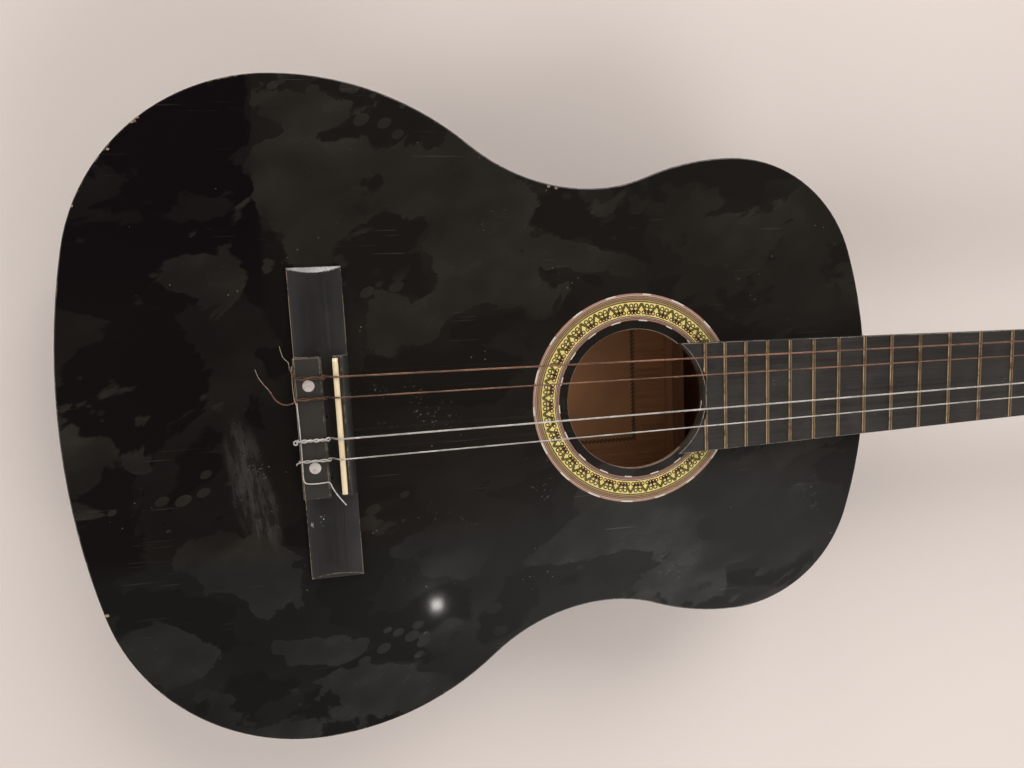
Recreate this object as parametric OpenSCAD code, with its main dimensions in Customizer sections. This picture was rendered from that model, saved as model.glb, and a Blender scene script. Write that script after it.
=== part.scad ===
// Classical guitar lying on its flat back, with two strings gone and one of them torn off at the tie block.
// Millimetres. The origin is the middle of the body's length, on the back's outer face. +X runs along the
// neck to the head, +Y to the bass side and +Z out through the soundboard.

/* [Body] */
// Length of the body, from the tail to the neck joint
body_len = 477.4; // [460:0.1:580]
// Depth of the body, from the back's outer face to the soundboard's outer face
body_depth = 96; // [80:1:116]
// Half width of the lower bout
lower_half = 189.3; // [170:0.1:228]
// Half width of the waist
waist_half = 125.9; // [105:0.1:132]
// Half width of the upper bout
upper_half = 142.1; // [136:0.1:172]
// Distance from the tail to the widest place of the lower bout
lower_at = 123.8; // [118:0.1:140]
// Distance from the tail to the narrowest place of the waist
waist_at = 298.7; // [285:0.1:310]
// Distance from the neck's end of the body to the widest place of the upper bout
upper_to_neck = 91.7; // [82:0.1:102]
// Radius of the corner between the tail and the side of the lower bout
tail_corner_r = 115.2; // [100:0.1:117]
// Radius of the shoulder
shoulder_r = 82.7; // [60:0.1:90]
// Radius of the waist's hollow on its tail side
waist_tail_r = 111.6; // [60:0.1:130]
// Radius of the waist's hollow on its neck side
waist_neck_r = 93.3; // [50:0.1:110]
// Thickness of the soundboard
top_t = 2.8; // [2:0.1:4]
// Thickness of the back
back_t = 2.8; // [2:0.1:4]
// Thickness of the ribs
rib_t = 2.2; // [1.8:0.1:3]
// Width of the linings glued inside the ribs
lining_w = 6; // [4:0.5:9]
// Height of the linings
lining_h = 15; // [10:1:20]

/* [Sound hole] */
// Radius of the sound hole
hole_r = 42.8; // [36:0.1:52]
// How far the sound hole reaches past the middle of the last fret
hole_past_fret = 0.1; // [0:0.1:2]
// Width of the plain ring between the sound hole and the rosette
rosette_gap = 5; // [3:0.1:8]
// Width of the rosette
rosette_w = 16.4; // [10:0.1:22]
// Thickness of the rosette's inlay
rosette_t = 0.6; // [0.4:0.1:1.2]

/* [Neck] */
// Length of the open strings by design, from the nut to twice the twelfth fret
scale_len = 650; // [540:1:780]
// Distance from the twelfth fret to the end of the body
joint_inset = 4.7; // [1:0.1:8]
// How far the neck's middle line lies off the body's, towards the treble side
neck_off = 1; // [0:0.1:2]
// Width of the fretboard at the nut
nut_w = 49.4; // [46:0.1:54]
// Width of the fretboard at the twelfth fret
w12 = 62.6; // [58:0.1:66]
// Thickness of the fretboard
board_t = 6; // [5:0.1:7]
// Thickness of the nut along the neck
nut_t = 5; // [4:0.1:6]
// Depth of the neck's wood at the nut
neck_d_nut = 16; // [14:0.5:20]
// Depth of the neck's wood at the body
neck_d_body = 20; // [17:0.5:24]
// Width of the tenon that holds the neck in its block
tenon_w = 22; // [16:1:30]
// Length of the tenon inside the body
tenon_len = 20; // [12:1:30]

/* [Frets] */
// Number of frets
fret_count = 19; // [18:1:20]
// Width of a fret's crown
crown_w = 2.4; // [1.8:0.1:3]
// Height of a fret's crown
crown_h = 1; // [0.7:0.1:1.4]
// Thickness of the tang under the crown
tang_t = 0.6; // [0.4:0.1:0.9]
// Depth of the tang in the fretboard
tang_h = 1.8; // [1.2:0.1:2.4]
// How much further than the sound hole the last fret is cut away
last_fret_gap = 1.5; // [0.5:0.1:3]

/* [Bridge] */
// Length of the bridge across the strings
bridge_len = 177.5; // [160:0.5:200]
// Width of the bridge along the strings
bridge_w = 29.2; // [28:0.1:34]
// How far the bridge's middle lies off the body's middle line, towards the treble side
bridge_off = 1.6; // [0:0.1:3]
// Length of the raised middle of the bridge
block_len = 79; // [74:0.5:86]
// Height of the tie block
tie_h = 9.5; // [8:0.1:11]
// Width of the tie block
tie_w = 15.2; // [12:0.1:16]
// Width of the channel between the tie block and the saddle
channel_w = 6; // [4:0.1:7]
// Height of the channel's floor
channel_h = 3.2; // [2.5:0.1:4]
// Height of the wings at their middle
wing_h = 4.8; // [4:0.1:6]
// Height of the wings at their long edges
wing_edge_h = 2.2; // [1.5:0.1:3]
// Length of the bevel at the end of a wing
bevel_len = 3.4; // [2:0.1:6]
// Thickness of the saddle
saddle_t = 3; // [2.5:0.1:3.5]
// Length of the saddle
saddle_len = 77; // [70:0.5:79]
// Height of the saddle above the soundboard
saddle_h = 11.5; // [10.5:0.1:13]
// How far the saddle stands beyond twice the twelfth fret
setback = 1.5; // [0:0.1:4]
// Radius of the pearl dots in the tie block
dot_r = 3.2; // [3:0.1:4]
// Distance between the pearl dots
dot_span = 46; // [42:0.5:50]
// Radius of the holes that the strings are tied through
tie_hole_r = 0.9; // [0.7:0.1:1.2]

/* [Strings] */
// Distance between two strings at the saddle
saddle_pitch = 11.55; // [10.5:0.05:12]
// Distance between two strings at the nut
nut_pitch = 8.2; // [7.6:0.05:8.6]
// Height of the strings' undersides above the soundboard at the nut
nut_string_h = 7.4; // [7.2:0.1:8]

/* [Head] */
// Angle at which the head leans back
head_tilt = 15; // [10:1:16]
// Length of the head
head_len = 188; // [170:1:205]
// Width of the head where it carries the tuners
head_w = 72; // [60:1:87]
// Thickness of the head's wood
head_t = 18; // [17:0.5:20]
// Thickness of the veneer on the head's face
veneer_t = 2; // [1:0.1:3]
// Radius of the rounded end of the head
crest_r = 60; // [50:1:90]
// Width of each slot in the head
slot_w = 16; // [14:0.5:17]
// Width of the wood between the two slots
web_w = 17; // [15:0.5:20]

/* [Tuners] */
// Distance between two rollers on one side
roller_pitch = 35; // [33:0.5:38]
// Distance from the nut to the first roller
first_roller = 52; // [50:0.5:60]
// Radius of a roller
roller_r = 5; // [4:0.1:5.5]
// Running clearance round what turns
turn_gap = 0.06; // [0.03:0.01:0.09]
// Thickness of the side plates
plate_t = 1.2; // [1:0.1:1.6]
// Height of the side plates
plate_h = 16; // [14:0.5:17]
// Number of teeth on a tuner's gear
gear_teeth = 14; // [12:1:16]
// Pitch of the worm's thread
worm_pitch = 2.2; // [2:0.05:2.4]
// Mean radius of the worm
worm_r = 2.5; // [2.3:0.1:2.7]
// Play between the worm's thread and the gear's teeth
mesh_gap = 0.4; // [0.35:0.05:0.5]
// Length of a tuner's button
button_len = 17; // [14:0.5:19]
// Largest radius of a tuner's button
button_r = 6.8; // [6:0.1:8]

/* [Hidden] */

$fn = 64;
tiny = 0.01;

// Stations along the strings
half_len = body_len / 2;
x12 = half_len - joint_inset;
x_nut = x12 + scale_len / 2;
x_saddle = x12 - scale_len / 2 - setback;
front_ledge = bridge_w - tie_w - channel_w - saddle_t;
x_bridge_front = x_saddle + saddle_t / 2 + front_ledge;
x_bridge_back = x_bridge_front - bridge_w;
x_bridge = (x_bridge_front + x_bridge_back) / 2;
x_channel = x_bridge_back + tie_w;
top_z = body_depth;
inside_z = body_depth - top_t;
inner_h = inside_z - back_t;

function fret_x(n) = x_nut - scale_len * (1 - pow(2, -n / 12));
function board_w(x) = nut_w + (w12 - nut_w) * (x_nut - x) / (scale_len / 2);
x_hole = fret_x(fret_count) + hole_past_fret - hole_r;
rosette_in_r = hole_r + rosette_gap;
rosette_out_r = rosette_in_r + rosette_w;

// Strings are numbered 1, the thinnest and on the treble side, to 6. Both rows of notches sit a little
// off the middle of their bridge and their nut.
notches_off = 0.3;
nut_notches_off = 1.6;
function saddle_y(k) = (k - 3.5) * saddle_pitch - bridge_off - notches_off;
function nut_y(k) = (k - 3.5) * nut_pitch - neck_off - nut_notches_off;
function string_r(k) = [0, 0.36, 0.41, 0.51, 0.37, 0.44, 0.54][k];

// ---- Outline of the body: arcs that run into each other, along one side from the tail to the neck

function dir(a) = [cos(a), sin(a)];
function angle_of(v) = atan2(v[1], v[0]);
// Points of an arc without its last one, close enough together to stay within 0.05 mm of it
function arc(c, r, from, to) =
    let (step = 2 * acos(1 - 0.05 / r), n = max(2, ceil(abs(to - from) / step)))
    [for (i = [0 : n - 1]) c + r * dir(from + (to - from) * i / n)];

tail_x = -half_len;
lower_x = tail_x + lower_at;
waist_x = tail_x + waist_at;
upper_x = half_len - upper_to_neck;

// Radii that follow, because each pair of arcs must meet without a corner
function pair_radius(dx, dy) = (dx * dx + dy * dy) / (2 * dy);
lower_side_r = pair_radius(waist_x - lower_x, lower_half - waist_half) - waist_tail_r;
upper_side_r = pair_radius(upper_x - waist_x, upper_half - waist_half) - waist_neck_r;
function end_radius(reach, half, corner) =
    (reach * reach + pow(half - corner, 2) - corner * corner) / (2 * (reach - corner));
tail_r = end_radius(lower_at, lower_half, tail_corner_r);
neck_end_r = end_radius(upper_to_neck, upper_half, shoulder_r);

c_tail = [tail_x + tail_r, 0];
c_corner = [lower_x, lower_half - tail_corner_r];
c_lower = [lower_x, lower_half - lower_side_r];
c_waist_tail = [waist_x, waist_half + waist_tail_r];
c_waist_neck = [waist_x, waist_half + waist_neck_r];
c_upper = [upper_x, upper_half - upper_side_r];
c_shoulder = [upper_x, upper_half - shoulder_r];
c_end = [half_len - neck_end_r, 0];

a_tail = angle_of(c_corner - c_tail);
a_waist_tail = angle_of(c_waist_tail - c_lower);
a_waist_neck = angle_of(c_waist_neck - c_upper);
a_end = angle_of(c_shoulder - c_end);

// One side of the outline, moved inwards by inset. Every arc keeps its middle.
function side(inset) = concat(
    arc(c_tail, tail_r - inset, 180, a_tail),
    arc(c_corner, tail_corner_r - inset, a_tail, 90),
    arc(c_lower, lower_side_r - inset, 90, a_waist_tail),
    arc(c_waist_tail, waist_tail_r + inset, a_waist_tail + 180, 270),
    arc(c_waist_neck, waist_neck_r + inset, 270, a_waist_neck + 180),
    arc(c_upper, upper_side_r - inset, a_waist_neck, 90),
    arc(c_shoulder, shoulder_r - inset, 90, a_end),
    arc(c_end, neck_end_r - inset, a_end, 0),
    [[half_len - inset, 0]]
);

module outline(inset = 0) {
    points = side(inset);
    last = len(points) - 1;
    polygon(concat(points, [for (i = [last - 1 : -1 : 1]) [points[i][0], -points[i][1]]]));
}

// What fits inside the body, with its edge inset from the outline
module inner_space(inset, height, z) {
    translate([0, 0, z]) linear_extrude(height) outline(inset);
}

// The body as one lump, to cut away what would stand in it
module body_lump() {
    translate([0, 0, -1]) linear_extrude(body_depth + 2) outline();
}

// ---- Body

bolt_x = x_bridge_back + tie_w / 2;
bolt_r = 2;
bolt_head_r = 2.9;
bolt_head_h = 2;
dot_t = 1;
bolt_low = 12;
bolt_nut_r = 3.9;
bolt_nut_t = 3;
dots_off = 1.2;

module bolt_places(z) {
    for (side = [-1, 1]) translate([bolt_x, side * dot_span / 2 - bridge_off + dots_off, z]) children();
}

module soundboard() {
    color("#141414") difference() {
        translate([0, 0, inside_z]) linear_extrude(top_t) outline();
        translate([x_hole, 0, inside_z - 1]) cylinder(r = hole_r, h = top_t + 2, $fn = 128);
        translate([x_hole, 0, top_z - rosette_t]) rosette_ring(rosette_t + 1);
        bolt_places(inside_z - 1) cylinder(r = bolt_r, h = top_t + 2);
    }
}

module rosette_ring(height) {
    difference() {
        cylinder(r = rosette_out_r, h = height, $fn = 128);
        translate([0, 0, -1]) cylinder(r = rosette_in_r, h = height + 2, $fn = 128);
    }
}

module rosette() {
    color("#d8cf8a") translate([x_hole, 0, top_z - rosette_t]) rosette_ring(rosette_t);
}

module back_panel() {
    color("#6b3a1c") linear_extrude(back_t) outline();
}

// The tenon of the heel, in its block
tenon_low = 22;
tenon_root = 8;
tenon_gap = 0.1;

module tenon(gap = 0) {
    translate([half_len - tenon_len - gap, -neck_off - tenon_w / 2 - gap, tenon_low - gap])
        cube([tenon_len + gap + tenon_root, tenon_w + 2 * gap, inside_z - tenon_low + gap]);
}

module rib(side) {
    reach = lower_half + 10;
    difference() {
        translate([0, 0, back_t]) linear_extrude(inner_h) difference() {
            outline();
            outline(rib_t);
            translate([-half_len - 10, side > 0 ? -reach : 0]) square([body_len + 20, reach]);
        }
        tenon(tenon_gap);
    }
}

module rib_bass() {
    color("#2a1a12") rib(1);
}

module rib_treble() {
    color("#2a1a12") rib(-1);
}

neck_block_len = 52;
neck_block_w = 84;
tail_block_len = 18;
tail_block_w = 90;

// Both blocks run out past the ribs here, and inner_space cuts them to the ribs' curve
module neck_block_place() {
    translate([half_len - rib_t - neck_block_len, -neck_block_w / 2, back_t])
        cube([2 * neck_block_len, neck_block_w, inner_h]);
}

module tail_block_place() {
    translate([tail_x - tail_block_len, -tail_block_w / 2, back_t])
        cube([2 * tail_block_len + rib_t, tail_block_w, inner_h]);
}

module neck_block() {
    color("#9a6a3c") difference() {
        intersection() {
            neck_block_place();
            inner_space(rib_t, inner_h, back_t);
        }
        tenon(tenon_gap);
    }
}

module tail_block() {
    color("#9a6a3c") intersection() {
        tail_block_place();
        inner_space(rib_t, inner_h, back_t);
    }
}

module lining(z) {
    difference() {
        translate([0, 0, z]) linear_extrude(lining_h) difference() {
            outline(rib_t);
            outline(rib_t + lining_w);
        }
        neck_block_place();
        tail_block_place();
    }
}

module top_lining() {
    color("#b98a58") lining(inside_z - lining_h);
}

module back_lining() {
    color("#b98a58") lining(back_t);
}

bar_h = 17;
bar_w = 9;
bar_from_rosette = 4;
upper_bar_x = x_hole + rosette_out_r + bar_from_rosette;
lower_bar_x = x_hole - rosette_out_r - bar_from_rosette;

module harmonic_bars() {
    color("#c79a66") intersection() {
        inner_space(rib_t + lining_w, bar_h, inside_z - bar_h);
        union() {
            for (x = [upper_bar_x, lower_bar_x])
                translate([x - bar_w / 2, -lower_half, inside_z - bar_h])
                    cube([bar_w, 2 * lower_half, bar_h]);
        }
    }
}

fan_h = 4.5;
fan_w = 6;
fan_count = 5;
fan_pitch = 36;
fan_lean = 4;
fan_from_bar = 2;
fan_from_tail = 30;
patch_t = 2;
patch_w = bridge_w + 8;
patch_len = bridge_len + 12;

module patch_place() {
    translate([x_bridge - patch_w / 2, -bridge_off - patch_len / 2, inside_z - patch_t])
        cube([patch_w, patch_len, patch_t]);
}

module bridge_patch() {
    color("#b07a48") difference() {
        patch_place();
        bolt_places(inside_z - patch_t - 1) cylinder(r = bolt_r, h = patch_t + 2);
    }
}

module fan_braces() {
    fan_start = lower_bar_x - bar_w / 2 - fan_from_bar;
    fan_len = fan_start - tail_x - fan_from_tail;
    color("#c79a66") difference() {
        for (i = [0 : fan_count - 1]) {
            place = i - (fan_count - 1) / 2;
            translate([fan_start, place * fan_pitch, inside_z - fan_h]) rotate(-place * fan_lean)
                translate([-fan_len, -fan_w / 2, 0]) cube([fan_len, fan_w, fan_h]);
        }
        patch_place();
    }
}

back_brace_w = 9;
back_brace_h = 15;
label_l = 75;
label_w = 92;
label_t = 0.3;
label_x = x_hole + 33.5;
brace_over_label = 23;
brace_under_label = 20;
back_brace_places = [
    label_x + brace_over_label + back_brace_w / 2,
    label_x - label_l - brace_under_label,
    lower_x
];

module back_braces() {
    color("#8a5a34") intersection() {
        inner_space(rib_t + lining_w, back_brace_h, back_t);
        union() {
            for (x = back_brace_places)
                translate([x - back_brace_w / 2, -lower_half, back_t])
                    cube([back_brace_w, 2 * lower_half, back_brace_h]);
        }
    }
}

module label() {
    color("#b06a3a") translate([label_x - label_l, -neck_off - label_w / 2, back_t])
        cube([label_l, label_w, label_t]);
}

// ---- Bridge, drawn round its own middle on the soundboard

wing_r = (pow(bridge_w / 2, 2) + pow(wing_h - wing_edge_h, 2)) / (2 * (wing_h - wing_edge_h));
ledge_h = 7.5;
ledge_edge_h = 5.6;
tie_hole_z = 5;
slot_floor = 2.4;
saddle_gap = 0.05;
bevel_end_h = 1.6;
tie_round = 1;

module bridge_place() {
    translate([x_bridge, -bridge_off, top_z]) children();
}

// The barrel shape of the wings, with a sloping bevel at each end
module wings() {
    difference() {
        intersection() {
            translate([-bridge_w / 2, -bridge_len / 2, 0]) cube([bridge_w, bridge_len, wing_h]);
            translate([0, 0, wing_h - wing_r]) rotate([90, 0, 0])
                cylinder(r = wing_r, h = bridge_len + 2, center = true, $fn = 128);
        }
        for (side = [-1, 1]) at_bevel(side) rotate([90, 0, 90])
            linear_extrude(bridge_w + 2, center = true)
                polygon([[0, wing_h + 1], [0, wing_h], [bevel_len, bevel_end_h],
                    [bevel_len + 2, bevel_end_h], [bevel_len + 2, wing_h + 1]]);
    }
}

// Start of the bevel on one side
module at_bevel(side) {
    mirror([0, side > 0 ? 0 : 1, 0]) translate([0, bridge_len / 2 - bevel_len, 0]) children();
}

// The raised middle, as one profile along the saddle
module raised_middle() {
    back = -bridge_w / 2;
    tie_front = back + tie_w;
    ledge_back = tie_front + channel_w;
    ledge_front = bridge_w / 2;
    rotate([90, 0, 0]) linear_extrude(block_len, center = true) polygon([
        [back, 0], [back, tie_h - tie_round], [back + tie_round, tie_h],
        [tie_front - tie_round, tie_h], [tie_front, tie_h - tie_round],
        [tie_front, channel_h], [ledge_back, channel_h], [ledge_back, ledge_h],
        [ledge_back + saddle_t + 1.5, ledge_h], [ledge_front, ledge_edge_h], [ledge_front, 0]
    ]);
}

module bridge() {
    color("#1a1a1a") difference() {
        union() {
            bridge_place() wings();
            bridge_place() raised_middle();
        }
        translate([x_saddle, -bridge_off, top_z + slot_floor + 10])
            cube([saddle_t + 2 * saddle_gap, saddle_len + 2 * saddle_gap, 20], center = true);
        for (k = [1 : 6]) translate([x_bridge_back - 1, saddle_y(k), top_z + tie_hole_z]) rotate([0, 90, 0])
            cylinder(r = tie_hole_r, h = tie_w + 2, $fn = 24);
        bolt_places(top_z - 1) cylinder(r = bolt_r, h = tie_h);
        bolt_places(top_z + tie_h - dot_t - bolt_head_h) cylinder(r = dot_r, h = tie_h);
    }
}

module saddle() {
    low = slot_floor;
    round_r = 3;
    color("#efe2c4") intersection() {
        translate([x_saddle, -bridge_off, top_z]) rotate([90, 0, 0])
            linear_extrude(saddle_len, center = true) union() {
                translate([-saddle_t / 2, low]) square([saddle_t, saddle_h - low - saddle_t / 2]);
                translate([0, saddle_h - saddle_t / 2]) circle(r = saddle_t / 2, $fn = 32);
            }
        translate([x_saddle, -bridge_off, top_z]) rotate([90, 0, 90])
            linear_extrude(saddle_t + 2, center = true) union() {
                translate([-saddle_len / 2, 0]) square([saddle_len, saddle_h - round_r]);
                translate([round_r - saddle_len / 2, 0]) square([saddle_len - 2 * round_r, saddle_h + 1]);
                for (side = [-1, 1]) translate([side * (saddle_len / 2 - round_r), saddle_h - round_r])
                    circle(r = round_r, $fn = 32);
            }
    }
}

module bridge_dots() {
    color("#d9d4cc") bolt_places(top_z + tie_h - dot_t) cylinder(r = dot_r, h = dot_t);
}

module bridge_bolts() {
    head_low = top_z + tie_h - dot_t - bolt_head_h;
    color("#8c8c88") bolt_places(0) {
        translate([0, 0, head_low]) cylinder(r = bolt_head_r, h = bolt_head_h - 0.1);
        translate([0, 0, inside_z - bolt_low])
            cylinder(r = bolt_r, h = head_low - inside_z + bolt_low + tiny);
        translate([0, 0, inside_z - patch_t - bolt_nut_t]) cylinder(r = bolt_nut_r, h = bolt_nut_t, $fn = 6);
    }
}

// ---- Neck

heel_low = 4;
heel_w = 26;
heel_reach = 15;
heel_mid_w = 40;
heel_mid_reach = 26;
heel_top_reach = 52;
cap_t = 2;
slice_t = 0.5;

// Sets its children on the head's face, where the head starts behind the nut
module head_place() {
    translate([x_nut + nut_t, -neck_off, top_z]) rotate([0, head_tilt, 0]) children();
}

// Half round section of the shaft, standing across the neck
module shaft_slice(x, depth) {
    half = board_w(x) / 2;
    translate([x, -neck_off, top_z]) rotate([90, 0, 90]) linear_extrude(slice_t)
        polygon([for (a = [0 : 10 : 180]) [half * cos(a), -depth * sin(a)]]);
}

// Half oval that reaches away from the body
module half_oval(reach, width, step) {
    inside = 4;
    translate([half_len - inside, -neck_off])
        polygon([for (a = [-90 : step : 90]) [(reach + inside) * cos(a), width / 2 * sin(a)]]);
}

module heel_slice(z, reach, width) {
    translate([0, 0, z]) linear_extrude(slice_t) half_oval(reach, width, 10);
}

// From the body to the head, where the two are glued with a scarf joint
module neck_shaft() {
    color("#3a2416") difference() {
        hull() {
            shaft_slice(half_len - 4, neck_d_body);
            shaft_slice(x_nut + nut_t + 3, neck_d_nut);
        }
        body_lump();
        head_place() translate([0, -head_w, -2 * head_t]) cube([2 * head_t, 2 * head_w, 4 * head_t]);
    }
}

module neck_heel() {
    middle_z = top_z - neck_d_body - 18;
    color("#3a2416") difference() {
        union() {
            difference() {
                union() {
                    hull() {
                        heel_slice(top_z - neck_d_body * 0.55, heel_top_reach, board_w(half_len) - 4);
                        heel_slice(middle_z, heel_mid_reach, heel_mid_w);
                    }
                    hull() {
                        heel_slice(middle_z, heel_mid_reach, heel_mid_w);
                        heel_slice(heel_low, heel_reach, heel_w);
                    }
                }
                body_lump();
            }
            tenon();
        }
        neck_shaft();
    }
}

module heel_cap() {
    color("#1c1410") difference() {
        translate([0, 0, heel_low - cap_t]) linear_extrude(cap_t) half_oval(heel_reach, heel_w, 6);
        body_lump();
    }
}

neck_end_x = 4;
shoulder_x = 22;

// Outline of the head, seen on its face, from x = start
module head_outline(start) {
    half = head_w / 2;
    intersection() {
        polygon([
            [start, nut_w / 2], [neck_end_x, nut_w / 2], [shoulder_x, half], [head_len, half],
            [head_len, -half], [shoulder_x, -half], [neck_end_x, -nut_w / 2], [start, -nut_w / 2]
        ]);
        translate([head_len - crest_r, 0]) union() {
            circle(r = crest_r, $fn = 96);
            translate([-2 * head_len, -head_w]) square([2 * head_len, 2 * head_w]);
        }
    }
}

slot_start = 20;
slot_past_roller = 18;
last_roller = first_roller + 2 * roller_pitch;
slot_end = last_roller + slot_past_roller;
slot_y = web_w / 2 + slot_w / 2;

module head_slots() {
    for (side = [-1, 1]) translate([0, side * slot_y]) {
        translate([slot_start + slot_w / 2, -slot_w / 2]) square([slot_end - slot_start - slot_w, slot_w]);
        translate([slot_start + slot_w / 2, 0]) circle(d = slot_w, $fn = 48);
        translate([slot_end - slot_w / 2, 0]) circle(d = slot_w, $fn = 48);
    }
}

roller_z = -head_t / 2;
tip_r = 3;
tip_depth = 5.5;
function roller_x(i) = first_roller + i * roller_pitch;
// Strings 6, 5 and 4 wind on the bass side and 1, 2 and 3 on the treble side
function tuner_side(k) = k > 3 ? 1 : -1;
function tuner_row(k) = k > 3 ? 6 - k : k - 1;

screw_r = 1.3;
screw_len = 9;
screw_xs = [first_roller - 14, first_roller + 14, first_roller + roller_pitch + 14, last_roller + 11];

// Draws its children once for each plate screw, pointing out of the head's side
module screw_places() {
    for (side = [-1, 1]) for (x = screw_xs)
        translate([x, side * head_w / 2, roller_z]) rotate([-side * 90, 0, 0]) children();
}

// The wood of the head, with its slots and the holes for rollers and screws
module neck_head() {
    color("#3a2416") head_place() difference() {
        translate([0, 0, -head_t]) linear_extrude(head_t) difference() {
            head_outline(0);
            head_slots();
        }
        for (side = [-1, 1]) for (i = [0 : 2]) translate([roller_x(i), 0, roller_z])
            rotate([-side * 90, 0, 0]) {
                translate([0, 0, web_w / 2 - tip_depth]) cylinder(r = tip_r + turn_gap, h = tip_depth + 1);
                translate([0, 0, web_w / 2 + slot_w / 2]) cylinder(r = roller_r + turn_gap, h = head_w / 2);
            }
        screw_places() translate([0, 0, -screw_len]) cylinder(r = screw_r, h = screw_len + 1, $fn = 24);
    }
}

veneer_start = 0.5;

module head_veneer() {
    color("#17130f") head_place() linear_extrude(veneer_t) difference() {
        head_outline(veneer_start);
        head_slots();
    }
}

module fretboard() {
    color("#32302d") difference() {
        translate([0, -neck_off, top_z]) linear_extrude(board_t) polygon([
            [x_nut, nut_w / 2], [x_hole, board_w(x_hole) / 2],
            [x_hole, -board_w(x_hole) / 2], [x_nut, -nut_w / 2]
        ]);
        translate([x_hole, 0, top_z - 1]) cylinder(r = hole_r, h = board_t + 2, $fn = 128);
        for (n = [1 : fret_count]) translate([fret_x(n) - tang_t / 2, -w12, top_z + board_t - tang_h])
            cube([tang_t, 2 * w12, tang_h + 1]);
    }
}

// One fret, its crown a slice of a round bar, a little shorter than the fretboard is wide
fret_short = 0.6;

module fret(n) {
    crown_r = (pow(crown_w / 2, 2) + crown_h * crown_h) / (2 * crown_h);
    width = board_w(fret_x(n)) - fret_short;
    translate([fret_x(n), -neck_off, top_z + board_t]) rotate([90, 0, 0]) linear_extrude(width, center = true)
        union() {
            translate([-tang_t / 2, -tang_h]) square([tang_t, tang_h + 0.2]);
            intersection() {
                translate([0, crown_h - crown_r]) circle(r = crown_r, $fn = 48);
                translate([-crown_w, 0]) square([2 * crown_w, crown_h + 1]);
            }
        }
}

module frets() {
    color("#a98a55") difference() {
        for (n = [1 : fret_count]) fret(n);
        translate([x_hole, 0, top_z]) cylinder(r = hole_r + last_fret_gap, h = 20, $fn = 128);
    }
}

nut_h = 9.2;
nut_slope = 14;
notch_gap = 0.05;

module nut() {
    color("#e8dcc0") difference() {
        translate([x_nut, -neck_off - nut_w / 2, top_z]) cube([nut_t, nut_w, nut_h]);
        translate([x_nut - 1, -nut_w, top_z + nut_h]) rotate([0, nut_slope, 0])
            cube([3 * nut_t, 2 * nut_w, nut_h]);
        for (k = [1 : 6]) translate([x_nut - 1, nut_y(k) - string_r(k) - notch_gap, top_z + nut_string_h])
            cube([nut_t + 2, 2 * (string_r(k) + notch_gap), nut_h]);
    }
}

// ---- Strings: a round tube of eight sides along points

function unit(v) = v / norm(v);
function tangent(p, i) =
    let (last = len(p) - 1)
    unit(i == 0 ? p[1] - p[0] : i == last ? p[last] - p[last - 1]
        : unit(p[i + 1] - p[i]) + unit(p[i] - p[i - 1]));
function flatten_to(u, t) = unit(u - (u * t) * t);

module tube(p, r, sides = 8) {
    n = len(p);
    ups = [for (i = 0, u = flatten_to([0.1, 1, 0.2], tangent(p, 0)); i < n;
        i = i + 1, u = i < n ? flatten_to(u, tangent(p, i)) : u) u];
    rings = [for (i = [0 : n - 1]) for (s = [0 : sides - 1])
        let (t = tangent(p, i), u = ups[i], v = cross(t, u), a = 360 * s / sides)
        p[i] + r * (cos(a) * u + sin(a) * v)];
    walls = [for (i = [0 : n - 2]) for (s = [0 : sides - 1])
        [i * sides + s, i * sides + (s + 1) % sides, (i + 1) * sides + (s + 1) % sides, (i + 1) * sides + s]];
    start = [for (s = [sides - 1 : -1 : 0]) s];
    finish = [for (s = [0 : sides - 1]) (n - 1) * sides + s];
    polyhedron(rings, concat([start], walls, [finish]));
}

function from_head(v) = [
    x_nut + nut_t + v[0] * cos(head_tilt) + v[2] * sin(head_tilt),
    v[1] - neck_off,
    top_z - v[0] * sin(head_tilt) + v[2] * cos(head_tilt)
];

string_gap = 0.12;

// Where string k lies on its roller
function wind_y(k) = tuner_side(k) * (slot_y + (tuner_row(k) == 2 ? -3 : tuner_row(k) == 1 ? -2 : 1));
function on_roller(k) =
    from_head([roller_x(tuner_row(k)), wind_y(k), roller_z + roller_r + string_r(k) + string_gap]);

// The sounding length, from the roller over the nut and the saddle and down into the tie block
function run_of(k) =
    let (r = string_r(k))
    [
        on_roller(k),
        [x_nut + nut_t + 0.5, nut_y(k), top_z + nut_string_h + r],
        [x_nut, nut_y(k), top_z + nut_string_h + r],
        [x_saddle, saddle_y(k), top_z + saddle_h + r],
        [x_saddle - saddle_t / 2 - 0.4, saddle_y(k), top_z + saddle_h - 0.6 + r],
        [x_channel + 1.4, saddle_y(k), top_z + tie_hole_z + 0.4],
        [x_channel - 1, saddle_y(k), top_z + tie_hole_z],
        [x_bridge_back, saddle_y(k), top_z + tie_hole_z]
    ];

// The loop round the tie block: up its back, forward over the top, and back beside itself
function loop_of(k, lift) =
    let (r = string_r(k), y = saddle_y(k), b = x_bridge_back, z = top_z + tie_h + r + 0.05, w = 1.15 * r)
    [
        [b - 1.3 * r, y, top_z + tie_hole_z + 0.4],
        [b - 1.6 * r, y + 0.3 * w, top_z + tie_hole_z + 1.6],
        [b - 1.5 * r, y + w, z - 1.2 + lift],
        [b - 0.3 * r, y + w, z + lift],
        [b + 2.4, y + w, z + lift],
        [b + 4.4, y + w, z],
        [x_channel - 1.2, y + w, z],
        [x_channel + 0.4, y + 0.8 * w, z - 0.3],
        [x_channel + 0.9, y, z - 0.4],
        [x_channel + 0.4, y - 0.8 * w, z - 0.3],
        [x_channel - 1.2, y - w, z],
        [b + 4.4, y - w, z],
        [b + 2.4, y - w, z + lift],
        [b - 0.3 * r, y - w, z + lift]
    ];

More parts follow.
